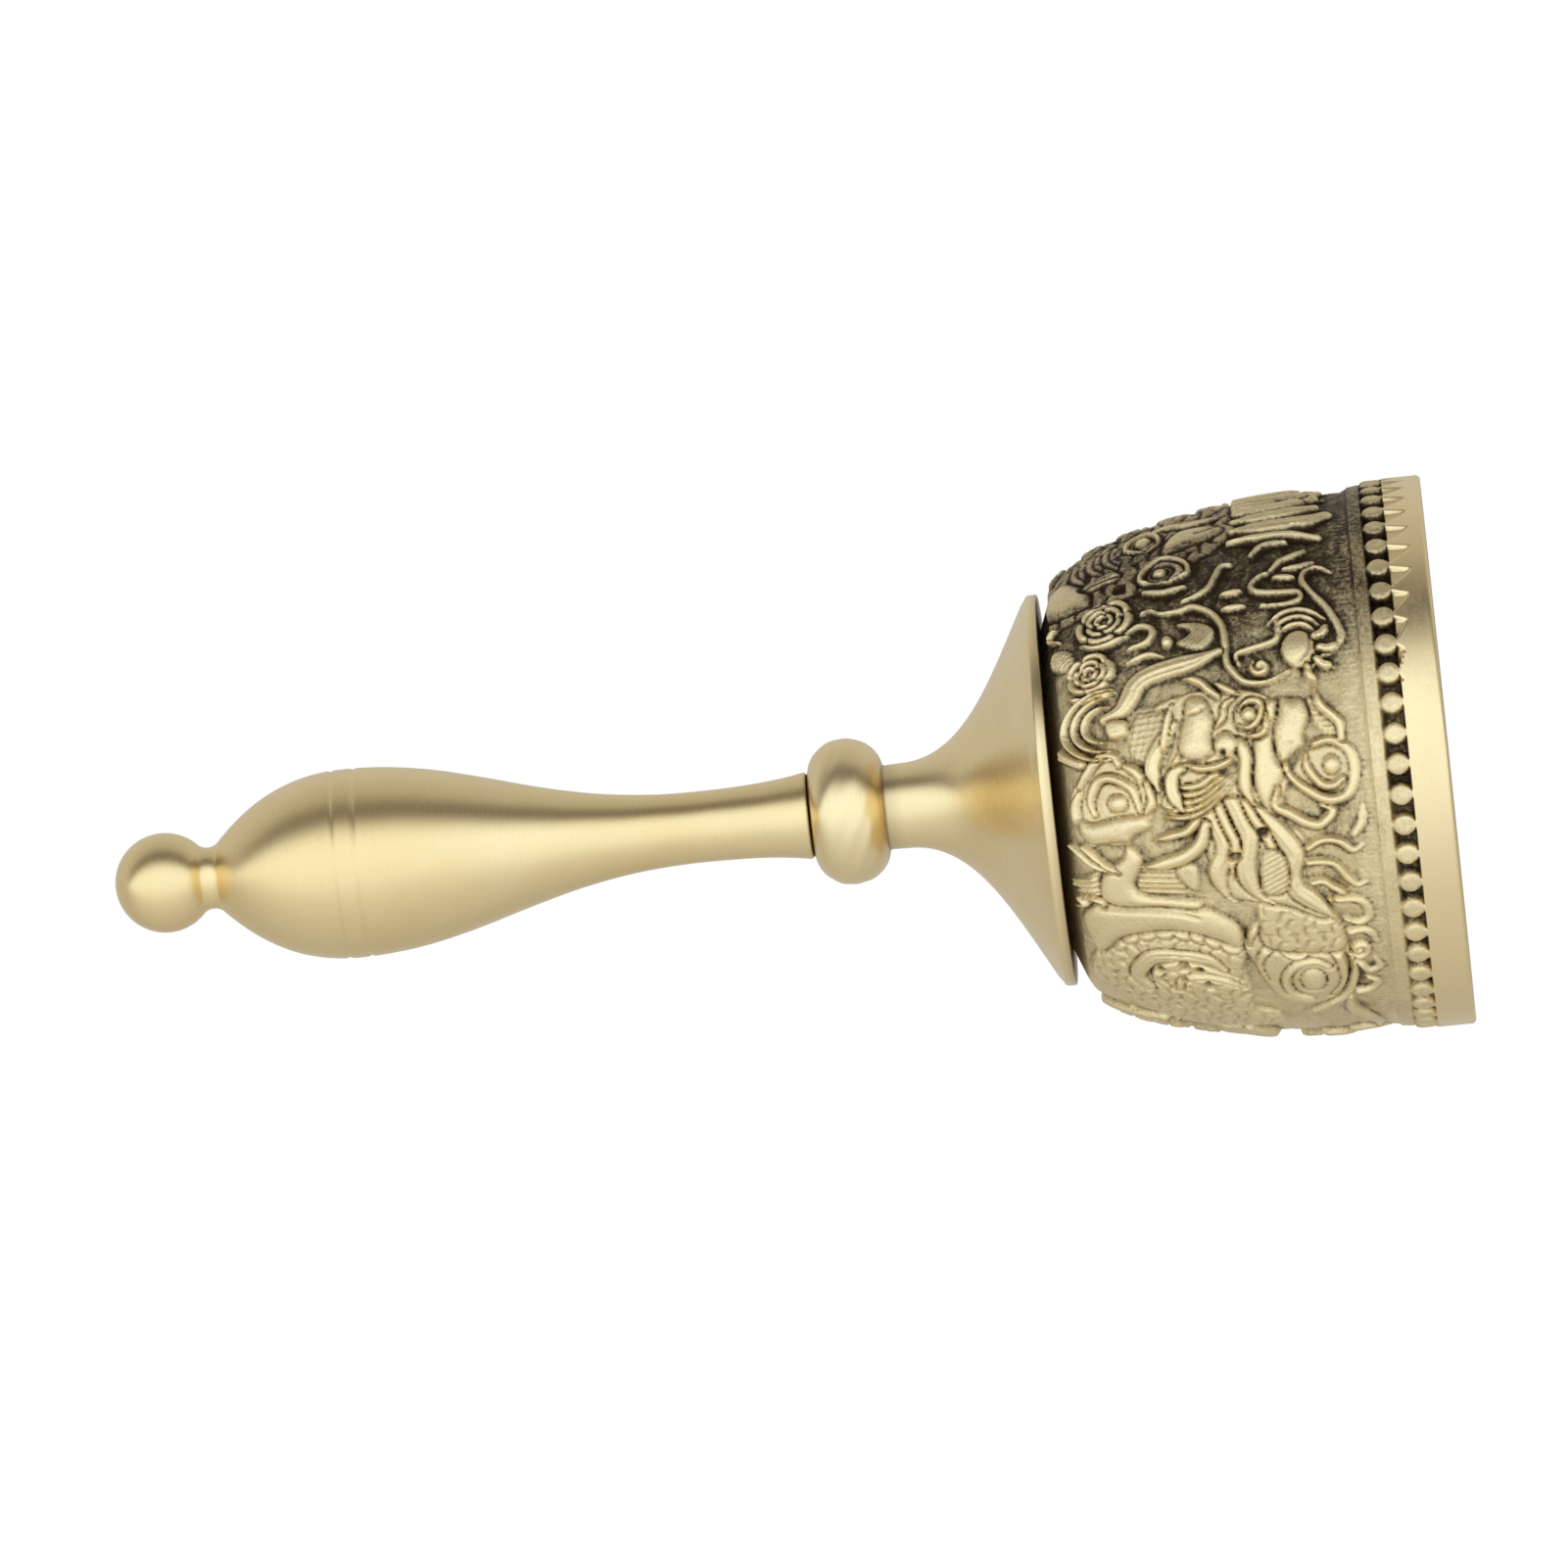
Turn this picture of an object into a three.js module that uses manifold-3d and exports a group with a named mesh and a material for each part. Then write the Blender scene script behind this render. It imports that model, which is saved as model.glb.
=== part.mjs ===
// Hand bell in cast and turned brass, standing on its mouth. A waisted grip is screwed to a flared
// cap, the cap is bolted through the crown of a relief-cast cup, and a ball clapper hangs inside
// from a closed ring. Millimetres, +Z along the bell's axis from the mouth to the finial ball.
// The origin is the centre of the mouth, in the plane of the rim.
import * as THREE from "three";
import { mergeVertices } from "three/addons/utils/BufferGeometryUtils.js";
import Module from "manifold-3d";

const wasm = await Module();
wasm.setup();

// Heights along the axis.
const CROWN_TOP = 39.2;
const CROWN_THICKNESS = 3;
const CAP_TOP = 64;
const TIP = 134;

// Cup, as radii unless named otherwise. The cast relief averages out at its mid-level.
const MOUTH_R = 27.5;
const MOUTH_INNER_R = 25.3;
const RIM_CHAMFER = 0.3;
const BAND_TOP = 3.9;
const CHANNEL_R = 26.3;
const CHANNEL_TOP = 6.3;
const LEDGE_R = 27.1;
const LEDGE_TOP = 7.5;
const RELIEF_FOOT_R = 26.6;
const CROWN_R = 19;

// Flared cap with its bead.
const LIP_R = 19.6;
const NECK_R = 4.27;
const BEAD_Z = 60.1;
const BEAD_OUT = 3.42;
const BEAD_HALF_HEIGHT = 3.77;
const BEAD_CORE_R = 3.93;

// Grip.
const FOOT_R = 4.34;
const WAIST_R = 3.57;
const WAIST_Z = 75.2;
const BELLY_R = 9.47;
const BELLY_Z = 110.2;
const SHOULDER_R = 3.36;
const SHOULDER_Z = 123.5;
const FINIAL_R = 5;

// M4 stud and M4 eye bolt, with the same clearance in every hole that they pass.
const THREAD_R = 2;
const HOLE_R = 2.15;
const STUD_FOOT = 54;
const STUD_HEAD = 75;
const SHANK_TOP = 49;
const BORE_END_GAP = 0.8;
const WASHER_R = 6;
const WASHER_THICKNESS = 0.8;
const SPRING_R = 3.6;
const SPRING_THICKNESS = 0.9;
const SPRING_GAP_DEG = 14;
const NUT_FLATS = 7;
const NUT_HEIGHT = 2.2;

// Clapper chain: eye, ring and rod loop hang in turned planes with a running gap between the wires.
const LINK_GAP = 0.25;
const EYE = { meanR: 2.2, wireR: 0.8, z: 29.6 };
const RING = { meanR: 2.6, wireR: 0.55 };
const LOOP = { meanR: 1.7, wireR: 0.7 };
const ROD_R = 1.3;
const ROD_HOLE_R = 1.45;
const STOP_R = 2.2;
const STOP_THICKNESS = 0.85;
const BALL_R = 7.5;
const BALL_Z = 9;
const BALL_FLAT_R = 2.6;

RING.z = EYE.z - EYE.meanR + EYE.wireR + RING.wireR + LINK_GAP - RING.meanR;
LOOP.z = RING.z - RING.meanR + RING.wireR + LOOP.wireR + LINK_GAP - LOOP.meanR;

const brass = (color, roughness) =>
  new THREE.MeshStandardMaterial({ color, roughness, metalness: 1 });
const steel = () =>
  new THREE.MeshStandardMaterial({ color: 0xa9a9a6, roughness: 0.4, metalness: 1 });

// A turned body from an outline of (radius, height), drawn upwards on its outer side.
function turned(outline, sides, steps) {
  const points = outline.getPoints(steps);
  return new THREE.LatheGeometry(points, sides).rotateX(Math.PI / 2);
}

// A plain closed ring of rectangular section, standing from z to z + height.
function collar(innerR, outerR, z, height, sides) {
  const outline = new THREE.Path();
  outline.moveTo(innerR, z);
  outline.lineTo(outerR, z);
  outline.lineTo(outerR, z + height);
  outline.lineTo(innerR, z + height);
  outline.lineTo(innerR, z);
  return turned(outline, sides, 1);
}

function rod(radius, low, high, sides) {
  const cylinder = new THREE.CylinderGeometry(radius, radius, high - low, sides);
  return cylinder.rotateX(Math.PI / 2).translate(0, 0, (high + low) / 2);
}

// A wire ring standing upright, in the plane of X and Z, or of Y and Z when it faces along X.
function link({ meanR, wireR, z }, facesX) {
  const torus = new THREE.TorusGeometry(meanR, wireR, 8, 24).rotateX(Math.PI / 2);
  if (facesX) torus.rotateZ(Math.PI / 2);
  return torus.translate(0, 0, z);
}

function solidOf(geometry) {
  geometry.deleteAttribute("normal");
  geometry.deleteAttribute("uv");
  const merged = mergeVertices(geometry, 1e-4);
  const vertProperties = merged.getAttribute("position").array;
  const triVerts = new Uint32Array(merged.index.array);
  return new wasm.Manifold(new wasm.Mesh({ numProp: 3, vertProperties, triVerts }));
}

function joined(...geometries) {
  const { vertProperties, triVerts } = geometries
    .map(solidOf)
    .reduce((whole, piece) => whole.add(piece))
    .getMesh();
  const geometry = new THREE.BufferGeometry();
  geometry.setAttribute("position", new THREE.BufferAttribute(vertProperties, 3));
  geometry.setIndex(new THREE.BufferAttribute(triVerts, 1));
  geometry.computeVertexNormals();
  return geometry;
}

// Open at the mouth, with a hole in the crown for the eye bolt.
function bellCup() {
  const crownUnderside = CROWN_TOP - CROWN_THICKNESS;
  const outline = new THREE.Path();
  outline.moveTo(MOUTH_INNER_R, 0);
  outline.lineTo(MOUTH_R - RIM_CHAMFER, 0);
  outline.lineTo(MOUTH_R, RIM_CHAMFER);
  outline.lineTo(MOUTH_R, BAND_TOP);
  outline.lineTo(CHANNEL_R, BAND_TOP);
  outline.lineTo(CHANNEL_R, CHANNEL_TOP);
  outline.lineTo(LEDGE_R, CHANNEL_TOP);
  outline.lineTo(LEDGE_R, LEDGE_TOP);
  outline.lineTo(RELIEF_FOOT_R, LEDGE_TOP);
  outline.bezierCurveTo(28.1, 19.5, 24.5, 36.6, CROWN_R, CROWN_TOP);
  outline.lineTo(HOLE_R, CROWN_TOP);
  outline.lineTo(HOLE_R, crownUnderside);
  outline.lineTo(16.5, crownUnderside);
  outline.bezierCurveTo(24.6, 34.6, 24.2, 16, MOUTH_INNER_R, 0);
  return turned(outline, 64, 9);
}

// Bead, neck and flare in one, solid but for a blind hole at each end.
function flaredCap() {
  const outline = new THREE.Path();
  outline.moveTo(0, SHANK_TOP + BORE_END_GAP);
  outline.lineTo(HOLE_R, SHANK_TOP + BORE_END_GAP);
  outline.lineTo(HOLE_R, CROWN_TOP);
  outline.lineTo(LIP_R - 0.2, CROWN_TOP);
  outline.lineTo(LIP_R, CROWN_TOP + 0.2);
  outline.lineTo(LIP_R, CROWN_TOP + 0.8);
  outline.quadraticCurveTo(LIP_R - 0.1, 40.6, 18.6, 41);
  outline.bezierCurveTo(11.2, 45, NECK_R, 48.2, NECK_R, 54.5);
  const seam = THREE.MathUtils.degToRad(84);
  outline.absellipse(BEAD_CORE_R, BEAD_Z, BEAD_OUT, BEAD_HALF_HEIGHT, -seam, seam);
  outline.lineTo(FOOT_R - 0.3, CAP_TOP);
  outline.lineTo(HOLE_R, CAP_TOP);
  outline.lineTo(HOLE_R, STUD_FOOT - BORE_END_GAP);
  outline.lineTo(0, STUD_FOOT - BORE_END_GAP);
  return turned(outline, 48, 6);
}

// Waisted grip with its finial ball, turned in one, with a blind hole up its foot.
function handleGrip() {
  const outline = new THREE.Path();
  outline.moveTo(0, STUD_HEAD + BORE_END_GAP);
  outline.lineTo(HOLE_R, STUD_HEAD + BORE_END_GAP);
  outline.lineTo(HOLE_R, CAP_TOP);
  outline.lineTo(FOOT_R - 0.3, CAP_TOP);
  outline.lineTo(FOOT_R, CAP_TOP + 0.25);
  outline.bezierCurveTo(3.83, 67, WAIST_R, 70.2, WAIST_R, WAIST_Z);
  outline.bezierCurveTo(WAIST_R, 91.2, BELLY_R, 97.1, BELLY_R, BELLY_Z);
  outline.bezierCurveTo(BELLY_R, 116.4, 6.6, 120.4, SHOULDER_R, SHOULDER_Z);
  const seat = Math.asin(SHOULDER_R / FINIAL_R) - Math.PI / 2;
  const finialZ = TIP - FINIAL_R;
  const seatZ = finialZ + FINIAL_R * Math.sin(seat);
  outline.quadraticCurveTo(2.8, (SHOULDER_Z + seatZ) / 2, SHOULDER_R, seatZ);
  outline.absarc(0, finialZ, FINIAL_R, seat, Math.PI / 2);
  return turned(outline, 32, 7);
}

// Split ring of spring steel, seen open at one side.
function springWasher(z) {
  const gap = THREE.MathUtils.degToRad(SPRING_GAP_DEG / 2);
  const outline = new THREE.Shape();
  outline.absarc(0, 0, SPRING_R, gap, 2 * Math.PI - gap);
  outline.absarc(0, 0, HOLE_R, 2 * Math.PI - gap, gap, true);
  outline.closePath();
  const settings = { depth: SPRING_THICKNESS, bevelEnabled: false, curveSegments: 28 };
  return new THREE.ExtrudeGeometry(outline, settings).translate(0, 0, z);
}

function hexNut(z) {
  const cornerR = NUT_FLATS / Math.sqrt(3);
  const corners = [0, 60, 120, 180, 240, 300].map((degrees) => {
    const angle = THREE.MathUtils.degToRad(degrees);
    return new THREE.Vector2(cornerR * Math.cos(angle), cornerR * Math.sin(angle));
  });
  const outline = new THREE.Shape(corners);
  outline.holes.push(new THREE.Path().absarc(0, 0, HOLE_R, 0, 2 * Math.PI));
  const settings = { depth: NUT_HEIGHT, bevelEnabled: false, curveSegments: 24 };
  return new THREE.ExtrudeGeometry(outline, settings).translate(0, 0, z);
}

function eyeBolt() {
  const shoulder = EYE.z + EYE.meanR;
  return joined(link(EYE, false), rod(THREAD_R, shoulder, SHANK_TOP, 24));
}

// Loop, rod, and the two stops that trap the ball between them.
function clapperRod() {
  const flat = Math.sqrt(BALL_R ** 2 - BALL_FLAT_R ** 2);
  const foot = BALL_Z - flat - STOP_THICKNESS;
  return joined(
    link(LOOP, false),
    rod(ROD_R, foot, LOOP.z - LOOP.meanR, 20),
    rod(STOP_R, foot, BALL_Z - flat, 20),
    rod(STOP_R, BALL_Z + flat, BALL_Z + flat + STOP_THICKNESS, 20),
  );
}

function clapperBall() {
  const end = Math.acos(BALL_FLAT_R / BALL_R);
  const flat = BALL_R * Math.sin(end);
  const outline = new THREE.Path();
  outline.moveTo(ROD_HOLE_R, BALL_Z - flat);
  outline.lineTo(BALL_FLAT_R, BALL_Z - flat);
  outline.absarc(0, BALL_Z, BALL_R, -end, end);
  outline.lineTo(ROD_HOLE_R, BALL_Z + flat);
  outline.lineTo(ROD_HOLE_R, BALL_Z - flat);
  return turned(outline, 24, 8);
}

const washerZ = CROWN_TOP - CROWN_THICKNESS - WASHER_THICKNESS;
const springZ = washerZ - SPRING_THICKNESS;
const nutZ = springZ - NUT_HEIGHT;

const pieces = {
  handle_grip: [handleGrip(), brass(0xb59a63, 0.35)],
  handle_stud: [rod(THREAD_R, STUD_FOOT, STUD_HEAD, 24), brass(0xb59a63, 0.45)],
  flared_cap: [flaredCap(), brass(0xb2965e, 0.35)],
  bell_cup: [bellCup(), brass(0x9a7d4b, 0.45)],
  crown_washer: [collar(HOLE_R, WASHER_R, washerZ, WASHER_THICKNESS, 32), brass(0xb59a63, 0.4)],
  spring_washer: [springWasher(springZ), steel()],
  hanger_nut: [hexNut(nutZ), brass(0xb59a63, 0.4)],
  eye_bolt: [eyeBolt(), brass(0xb59a63, 0.4)],
  clapper_ring: [link(RING, true), brass(0xb59a63, 0.4)],
  clapper_rod: [clapperRod(), brass(0xb59a63, 0.4)],
  clapper_ball: [clapperBall(), brass(0xa98a50, 0.4)],
};

const bell = new THREE.Group();
bell.name = "hand_bell";
for (const [name, [geometry, material]] of Object.entries(pieces)) {
  const mesh = new THREE.Mesh(geometry, material);
  mesh.name = name;
  bell.add(mesh);
}

export default bell;
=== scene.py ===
import math

import bpy
import numpy as np
from mathutils import Matrix, Vector


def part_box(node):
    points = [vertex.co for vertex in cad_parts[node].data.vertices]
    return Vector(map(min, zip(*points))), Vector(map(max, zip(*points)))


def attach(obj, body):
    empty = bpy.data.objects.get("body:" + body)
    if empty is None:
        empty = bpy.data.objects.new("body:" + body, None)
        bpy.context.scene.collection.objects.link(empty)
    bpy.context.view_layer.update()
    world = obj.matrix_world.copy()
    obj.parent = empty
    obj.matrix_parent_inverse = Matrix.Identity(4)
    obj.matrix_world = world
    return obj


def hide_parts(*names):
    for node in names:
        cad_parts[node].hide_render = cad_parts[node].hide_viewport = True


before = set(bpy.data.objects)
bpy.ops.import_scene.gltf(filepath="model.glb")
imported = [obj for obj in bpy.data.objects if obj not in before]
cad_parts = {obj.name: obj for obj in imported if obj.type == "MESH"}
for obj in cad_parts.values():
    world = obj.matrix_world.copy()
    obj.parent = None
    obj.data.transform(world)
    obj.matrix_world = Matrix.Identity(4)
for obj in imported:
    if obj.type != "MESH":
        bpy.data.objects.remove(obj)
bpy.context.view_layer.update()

# Brass hand bell: a turned grip and flared cap over a cup cast with a dragon, clouds, roses and a
# phoenix. Lengths are millimetres and become metres when a mesh is made, except in the studio at
# the end, which is in metres. Angles around the bell are degrees from its front, the -Y side, and
# grow towards +X.

MM = 0.001


def node_box(node):
    """Lowest and highest corner of a node's box."""
    low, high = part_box(node)
    return np.array(low) / MM, np.array(high) / MM


_, CUP_HIGH = node_box("bell_cup")
_, CAP_HIGH = node_box("flared_cap")
_, GRIP_HIGH = node_box("handle_grip")
STUD_LOW, STUD_HIGH = node_box("handle_stud")
BOLT_LOW, BOLT_HIGH = node_box("eye_bolt")
WASHER_LOW, WASHER_HIGH = node_box("crown_washer")
SPRING_LOW, SPRING_HIGH = node_box("spring_washer")
NUT_LOW, NUT_HIGH = node_box("hanger_nut")
RING_LOW, RING_HIGH = node_box("clapper_ring")
ROD_LOW, ROD_HIGH = node_box("clapper_rod")
BALL_LOW, BALL_HIGH = node_box("clapper_ball")

MOUTH_R = CUP_HIGH[0]
CROWN_TOP = CUP_HIGH[2]
CAP_TOP = CAP_HIGH[2]
TIP = GRIP_HIGH[2]
HOLE_R = 2.15
WALL_BOTTOM = 7.5
THREAD_PITCH = 0.7
THREAD_DEPTH = 0.38

# Mesh density of the cup: the front half is finer than the back half.
FRONT_COLUMNS = 620
BACK_COLUMNS = 260
RELIEF_ROWS = 190
TURNED_SIDES = 160

# The wall is unrolled at one width for all heights, so a circle near the crown comes out narrow.
MM_PER_DEGREE = 0.45
RELIEF_DEPTH = 1.02
RELIEF_DEPTH_AT_FOOT = 0.12
rng = np.random.default_rng(7)


# ------------------------------------------------------------------ outlines and meshes


def bezier(start, first, second, end, steps=24):
    """Points on a cubic curve with its two handles."""
    t = np.linspace(0, 1, steps + 1)[:, None]
    a, b, c, d = (np.array(point, float) for point in (start, first, second, end))
    return a * (1 - t) ** 3 + 3 * b * t * (1 - t) ** 2 + 3 * c * t**2 * (1 - t) + d * t**3


def arc(centre, radii, start, end, steps=24):
    """Points on a circle, or on an ellipse when two radii are given, between angles in degrees."""
    angle = np.radians(np.linspace(start, end, steps + 1))
    across, up = np.broadcast_to(radii, 2)
    return np.c_[centre[0] + across * np.cos(angle), centre[1] + up * np.sin(angle)]


def outline(*runs):
    """One outline of (radius, height) from single points and runs of points."""
    rows = np.vstack([np.atleast_2d(np.array(run, float)) for run in runs])
    moved = np.abs(np.diff(rows, axis=0)).max(axis=1) > 1e-6
    return rows[np.r_[True, moved]]


def along(start, end, longest):
    """Evenly spaced points on a straight line."""
    start, end = np.array(start, float), np.array(end, float)
    steps = max(1, math.ceil(np.linalg.norm(end - start) / longest))
    return start + (end - start) * np.linspace(0, 1, steps + 1)[:, None]


def circle_points(radius, height, angles):
    """Points round the axis at angles in radians from the front."""
    height = np.broadcast_to(height, np.shape(angles))
    return np.stack([radius * np.sin(angles), -radius * np.cos(angles), height], -1)


def grid_faces(rows, columns, rows_close):
    """Quads of a grid whose columns wrap round."""
    faces = []
    for i in range(rows if rows_close else rows - 1):
        low = i * columns
        high = (i + 1) % rows * columns
        for j in range(columns):
            k = (j + 1) % columns
            faces.append((low + j, low + k, high + k, high + j))
    return faces


def turned(rows, sides=TURNED_SIDES, relief=None):
    """Vertices and faces of a turned body. Its outline runs from axis to axis, or closes on itself."""
    angles = np.linspace(0, 2 * np.pi, sides, endpoint=False)
    solid = rows[0][0] < 1e-6
    inner = rows[1:-1] if solid else rows[:-1]
    rings = []
    for radius, height in inner:
        proud = relief(radius, height, angles) if relief else 0
        rings.append(circle_points(radius + proud, height, angles))
    vertices = np.vstack(rings)
    faces = grid_faces(len(inner), sides, not solid)
    if solid:
        low, high = len(vertices), len(vertices) + 1
        vertices = np.vstack([vertices, [0, 0, rows[0][1]], [0, 0, rows[-1][1]]])
        last = (len(inner) - 1) * sides
        for j in range(sides):
            k = (j + 1) % sides
            faces.append((low, k, j))
            faces.append((last + j, last + k, high))
    return vertices, faces


def wire_loop(centre_z, mean_r, wire_r, facing_x, steps=96, sides=20):
    """Bent wire in an upright plane, with the mark of its closed butt joint."""
    turn = np.linspace(0, 2 * np.pi, steps, endpoint=False)
    section = np.linspace(0, 2 * np.pi, sides, endpoint=False)
    from_joint = np.abs((turn - math.radians(200) + np.pi) % (2 * np.pi) - np.pi)
    thin = 1 - 0.12 * np.exp(-((from_joint / 0.05) ** 2))
    rings = []
    for angle, share in zip(turn, thin):
        reach = mean_r + wire_r * share * np.cos(section)
        aside = wire_r * share * np.sin(section)
        level, up = reach * math.cos(angle), centre_z + reach * math.sin(angle)
        flat = (aside, level) if facing_x else (level, -aside)
        rings.append(np.stack([*flat, up], -1))
    return np.vstack(rings), grid_faces(steps, sides, True)


def joined(*bodies):
    """Several closed bodies as one list of vertices and one of faces."""
    vertices, faces, count = [], [], 0
    for points, quads in bodies:
        vertices.append(points)
        faces += [tuple(index + count for index in quad) for quad in quads]
        count += len(points)
    return np.vstack(vertices), faces


def add_piece(name, body_mesh, material, body, node, crease=38):
    """A visible piece that rides a body and takes the place of a CAD node."""
    vertices, faces = body_mesh
    mesh = bpy.data.meshes.new(name)
    mesh.from_pydata((vertices * MM).tolist(), [], faces)
    mesh.materials.append(material)
    mesh.shade_smooth()
    mesh.set_sharp_from_angle(angle=math.radians(crease))
    piece = bpy.data.objects.new(name, mesh)
    bpy.context.scene.collection.objects.link(piece)
    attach(piece, body)
    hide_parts(node)
    return piece


def set_attribute(piece, name, values):
    attribute = piece.data.attributes.new(name, "FLOAT", "POINT")
    attribute.data.foreach_set("value", np.asarray(values, np.float32).ravel())


# ------------------------------------------------------------------ materials


class Shader:
    """A node material, with short calls for the nodes that these finishes share."""

    def __init__(self, name):
        self.material = bpy.data.materials.new(name)
        self.material.use_nodes = True
        self.tree = self.material.node_tree
        self.surface = self.tree.nodes["Principled BSDF"]
        self.surface.inputs["Metallic"].default_value = 1
        coordinates = self.tree.nodes.new("ShaderNodeTexCoord")
        self.position = coordinates.outputs["Object"]

    def node(self, kind, inputs=(), **settings):
        made = self.tree.nodes.new(kind)
        for key, value in settings.items():
            setattr(made, key, value)
        for key, value in dict(inputs).items():
            if isinstance(value, bpy.types.NodeSocket):
                self.tree.links.new(value, made.inputs[key])
            else:
                made.inputs[key].default_value = value
        return made

    def stretched(self, scale):
        """Object coordinates in millimetres times a scale for each axis."""
        scale = [value / MM for value in scale]
        return self.node("ShaderNodeMapping", {"Vector": self.position, "Scale": scale}).outputs[0]

    def noise(self, scale, detail=3, roughness=0.55):
        inputs = {"Vector": self.stretched(scale), "Scale": 1, "Detail": detail, "Roughness": roughness}
        return self.node("ShaderNodeTexNoise", inputs).outputs["Fac"]

    def spread(self, value, low, high, to_low=0.0, to_high=1.0):
        inputs = {"Value": value, 1: low, 2: high, 3: to_low, 4: to_high}
        return self.node("ShaderNodeMapRange", inputs, clamp=True).outputs[0]

    def attribute(self, name):
        return self.node("ShaderNodeAttribute", attribute_name=name).outputs["Fac"]

    def math(self, operation, first, second):
        return self.node("ShaderNodeMath", {0: first, 1: second}, operation=operation).outputs[0]

    def mix(self, share, first, second):
        made = self.tree.nodes.new("ShaderNodeMix")
        made.data_type = "RGBA"
        for socket, value in zip((made.inputs[0], made.inputs[6], made.inputs[7]), (share, first, second)):
            if isinstance(value, bpy.types.NodeSocket):
                self.tree.links.new(value, socket)
            else:
                socket.default_value = value
        return made.outputs[2]

    def finish(self, colour, roughness, height, depth_mm):
        self.tree.links.new(colour, self.surface.inputs["Base Color"])
        self.tree.links.new(roughness, self.surface.inputs["Roughness"])
        bump = self.node("ShaderNodeBump", {"Height": height, "Strength": 1.0, "Distance": depth_mm * MM})
        self.tree.links.new(bump.outputs[0], self.surface.inputs["Normal"])
        return self.material


BRASS_LIGHT = (0.88, 0.71, 0.42, 1)
BRASS = (0.82, 0.63, 0.33, 1)
BRASS_DEEP = (0.62, 0.43, 0.18, 1)
# The cap's two colours are a lighter copy of the brass: painted light that offsets the darker, oranger
# reflections of the neck and bead in the flare.
CAP_LIT_LIGHT = (0.89, 0.74, 0.45, 1)
CAP_LIT_TONE = (0.84, 0.67, 0.38, 1)
CAST_LIGHT = (0.88, 0.725, 0.43, 1)
CAST_TONE = (0.66, 0.53, 0.31, 1)
PATINA = (0.17, 0.13, 0.085, 1)
PATINA_DARK = (0.05, 0.032, 0.016, 1)


def turned_brass(name, light=BRASS_LIGHT, deep=BRASS, lines=14.0, roughness=(0.24, 0.34)):
    """Turned and satin brushed: fine lines round the axis, slight tone clouds, grime in seams."""
    shader = Shader(name)
    clouds = shader.noise((0.06, 0.06, 0.045), detail=4)
    brushed = shader.noise((0.25, 0.25, lines), detail=5, roughness=0.65)
    grain = shader.noise((7, 7, 7), detail=2)
    tone = shader.mix(shader.spread(clouds, 0.35, 0.7), light, deep)
    tone = shader.mix(shader.spread(brushed, 0.58, 0.8, 0, 0.35), tone, BRASS_DEEP)
    tone = shader.mix(shader.attribute("grime"), tone, PATINA)
    satin = shader.math("ADD", brushed, shader.math("MULTIPLY", clouds, 0.5))
    rough = shader.spread(satin, 0.5, 1.1, *roughness)
    surface = shader.math("ADD", brushed, shader.math("MULTIPLY", grain, 0.35))
    return shader.finish(tone, rough, surface, depth_mm=0.006)


def cast_brass():
    """Cast relief: dark patina in the recesses, warm brass on the slopes, painted shade darkening the ground
    towards +X, and a polished rim band.
    """
    shader = Shader("cast_brass")
    polish = shader.attribute("polish")
    lathe_lines = shader.noise((0.25, 0.25, 14), detail=5, roughness=0.65)
    level = shader.attribute("level")
    cavity = shader.attribute("cavity")
    blotch = shader.noise((0.22, 0.22, 0.22), detail=4)
    sand = shader.noise((2.4, 2.4, 2.4), detail=4, roughness=0.8)
    # Painted shade: the ground is darkened towards +X, from nothing at 5 mm to the most at 18 mm, and only a
    # tenth as much on the tops of the relief.
    across = shader.node("ShaderNodeSeparateXYZ", {"Vector": shader.position}).outputs["X"]
    painted_shade_side = shader.spread(across, 5 * MM, 18 * MM, 0, -0.42)
    uneven = shader.math("ADD", cavity, shader.spread(blotch, 0.3, 0.7, -0.1, 0.1))
    not_on_top = shader.spread(level, 0.75, 1.0, 1, 0.1)
    patina_and_painted_shade = shader.math("ADD", uneven, shader.math("MULTIPLY", painted_shade_side, not_on_top))
    # stain holds the patina, the blotches, the sand and the painted shade towards +X.
    stain = shader.math("ADD", patina_and_painted_shade, shader.spread(sand, 0.32, 0.68, -0.19, 0.12))
    tone = shader.mix(shader.spread(stain, 0.0, 0.22), PATINA_DARK, PATINA)
    tone = shader.mix(shader.spread(stain, 0.14, 0.4), tone, CAST_TONE)
    tone = shader.mix(shader.spread(stain, 0.36, 0.7), tone, CAST_LIGHT)
    tone = shader.mix(polish, tone, BRASS_LIGHT)
    cast_rough = shader.spread(stain, 0.2, 0.75, 0.5, 0.26)
    rough = shader.math("SUBTRACT", cast_rough, shader.math("MULTIPLY", polish, 0.04))
    sandy = shader.math("MULTIPLY", sand, shader.spread(level, 0.1, 0.9, 1.0, 0.4))
    rugged = shader.math("MULTIPLY", sandy, shader.math("SUBTRACT", 1.0, polish))
    on_band = shader.math("MULTIPLY", lathe_lines, shader.math("MULTIPLY", polish, 0.05))
    surface = shader.math("ADD", rugged, on_band)
    return shader.finish(tone, rough, surface, depth_mm=0.19)


def plain_metal(name, light, deep, grains_per_mm, roughness):
    """Drawn or plated metal with a fine grain and a little staining."""
    shader = Shader(name)
    stain = shader.noise((0.5, 0.5, 0.5), detail=4)
    grain = shader.noise((grains_per_mm,) * 3, detail=3)
    tone = shader.mix(shader.spread(stain, 0.35, 0.7), light, deep)
    rough = shader.spread(grain, 0.3, 0.7, *roughness)
    return shader.finish(tone, rough, grain, depth_mm=0.008)


# ------------------------------------------------------------------ relief on the cup wall


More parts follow.
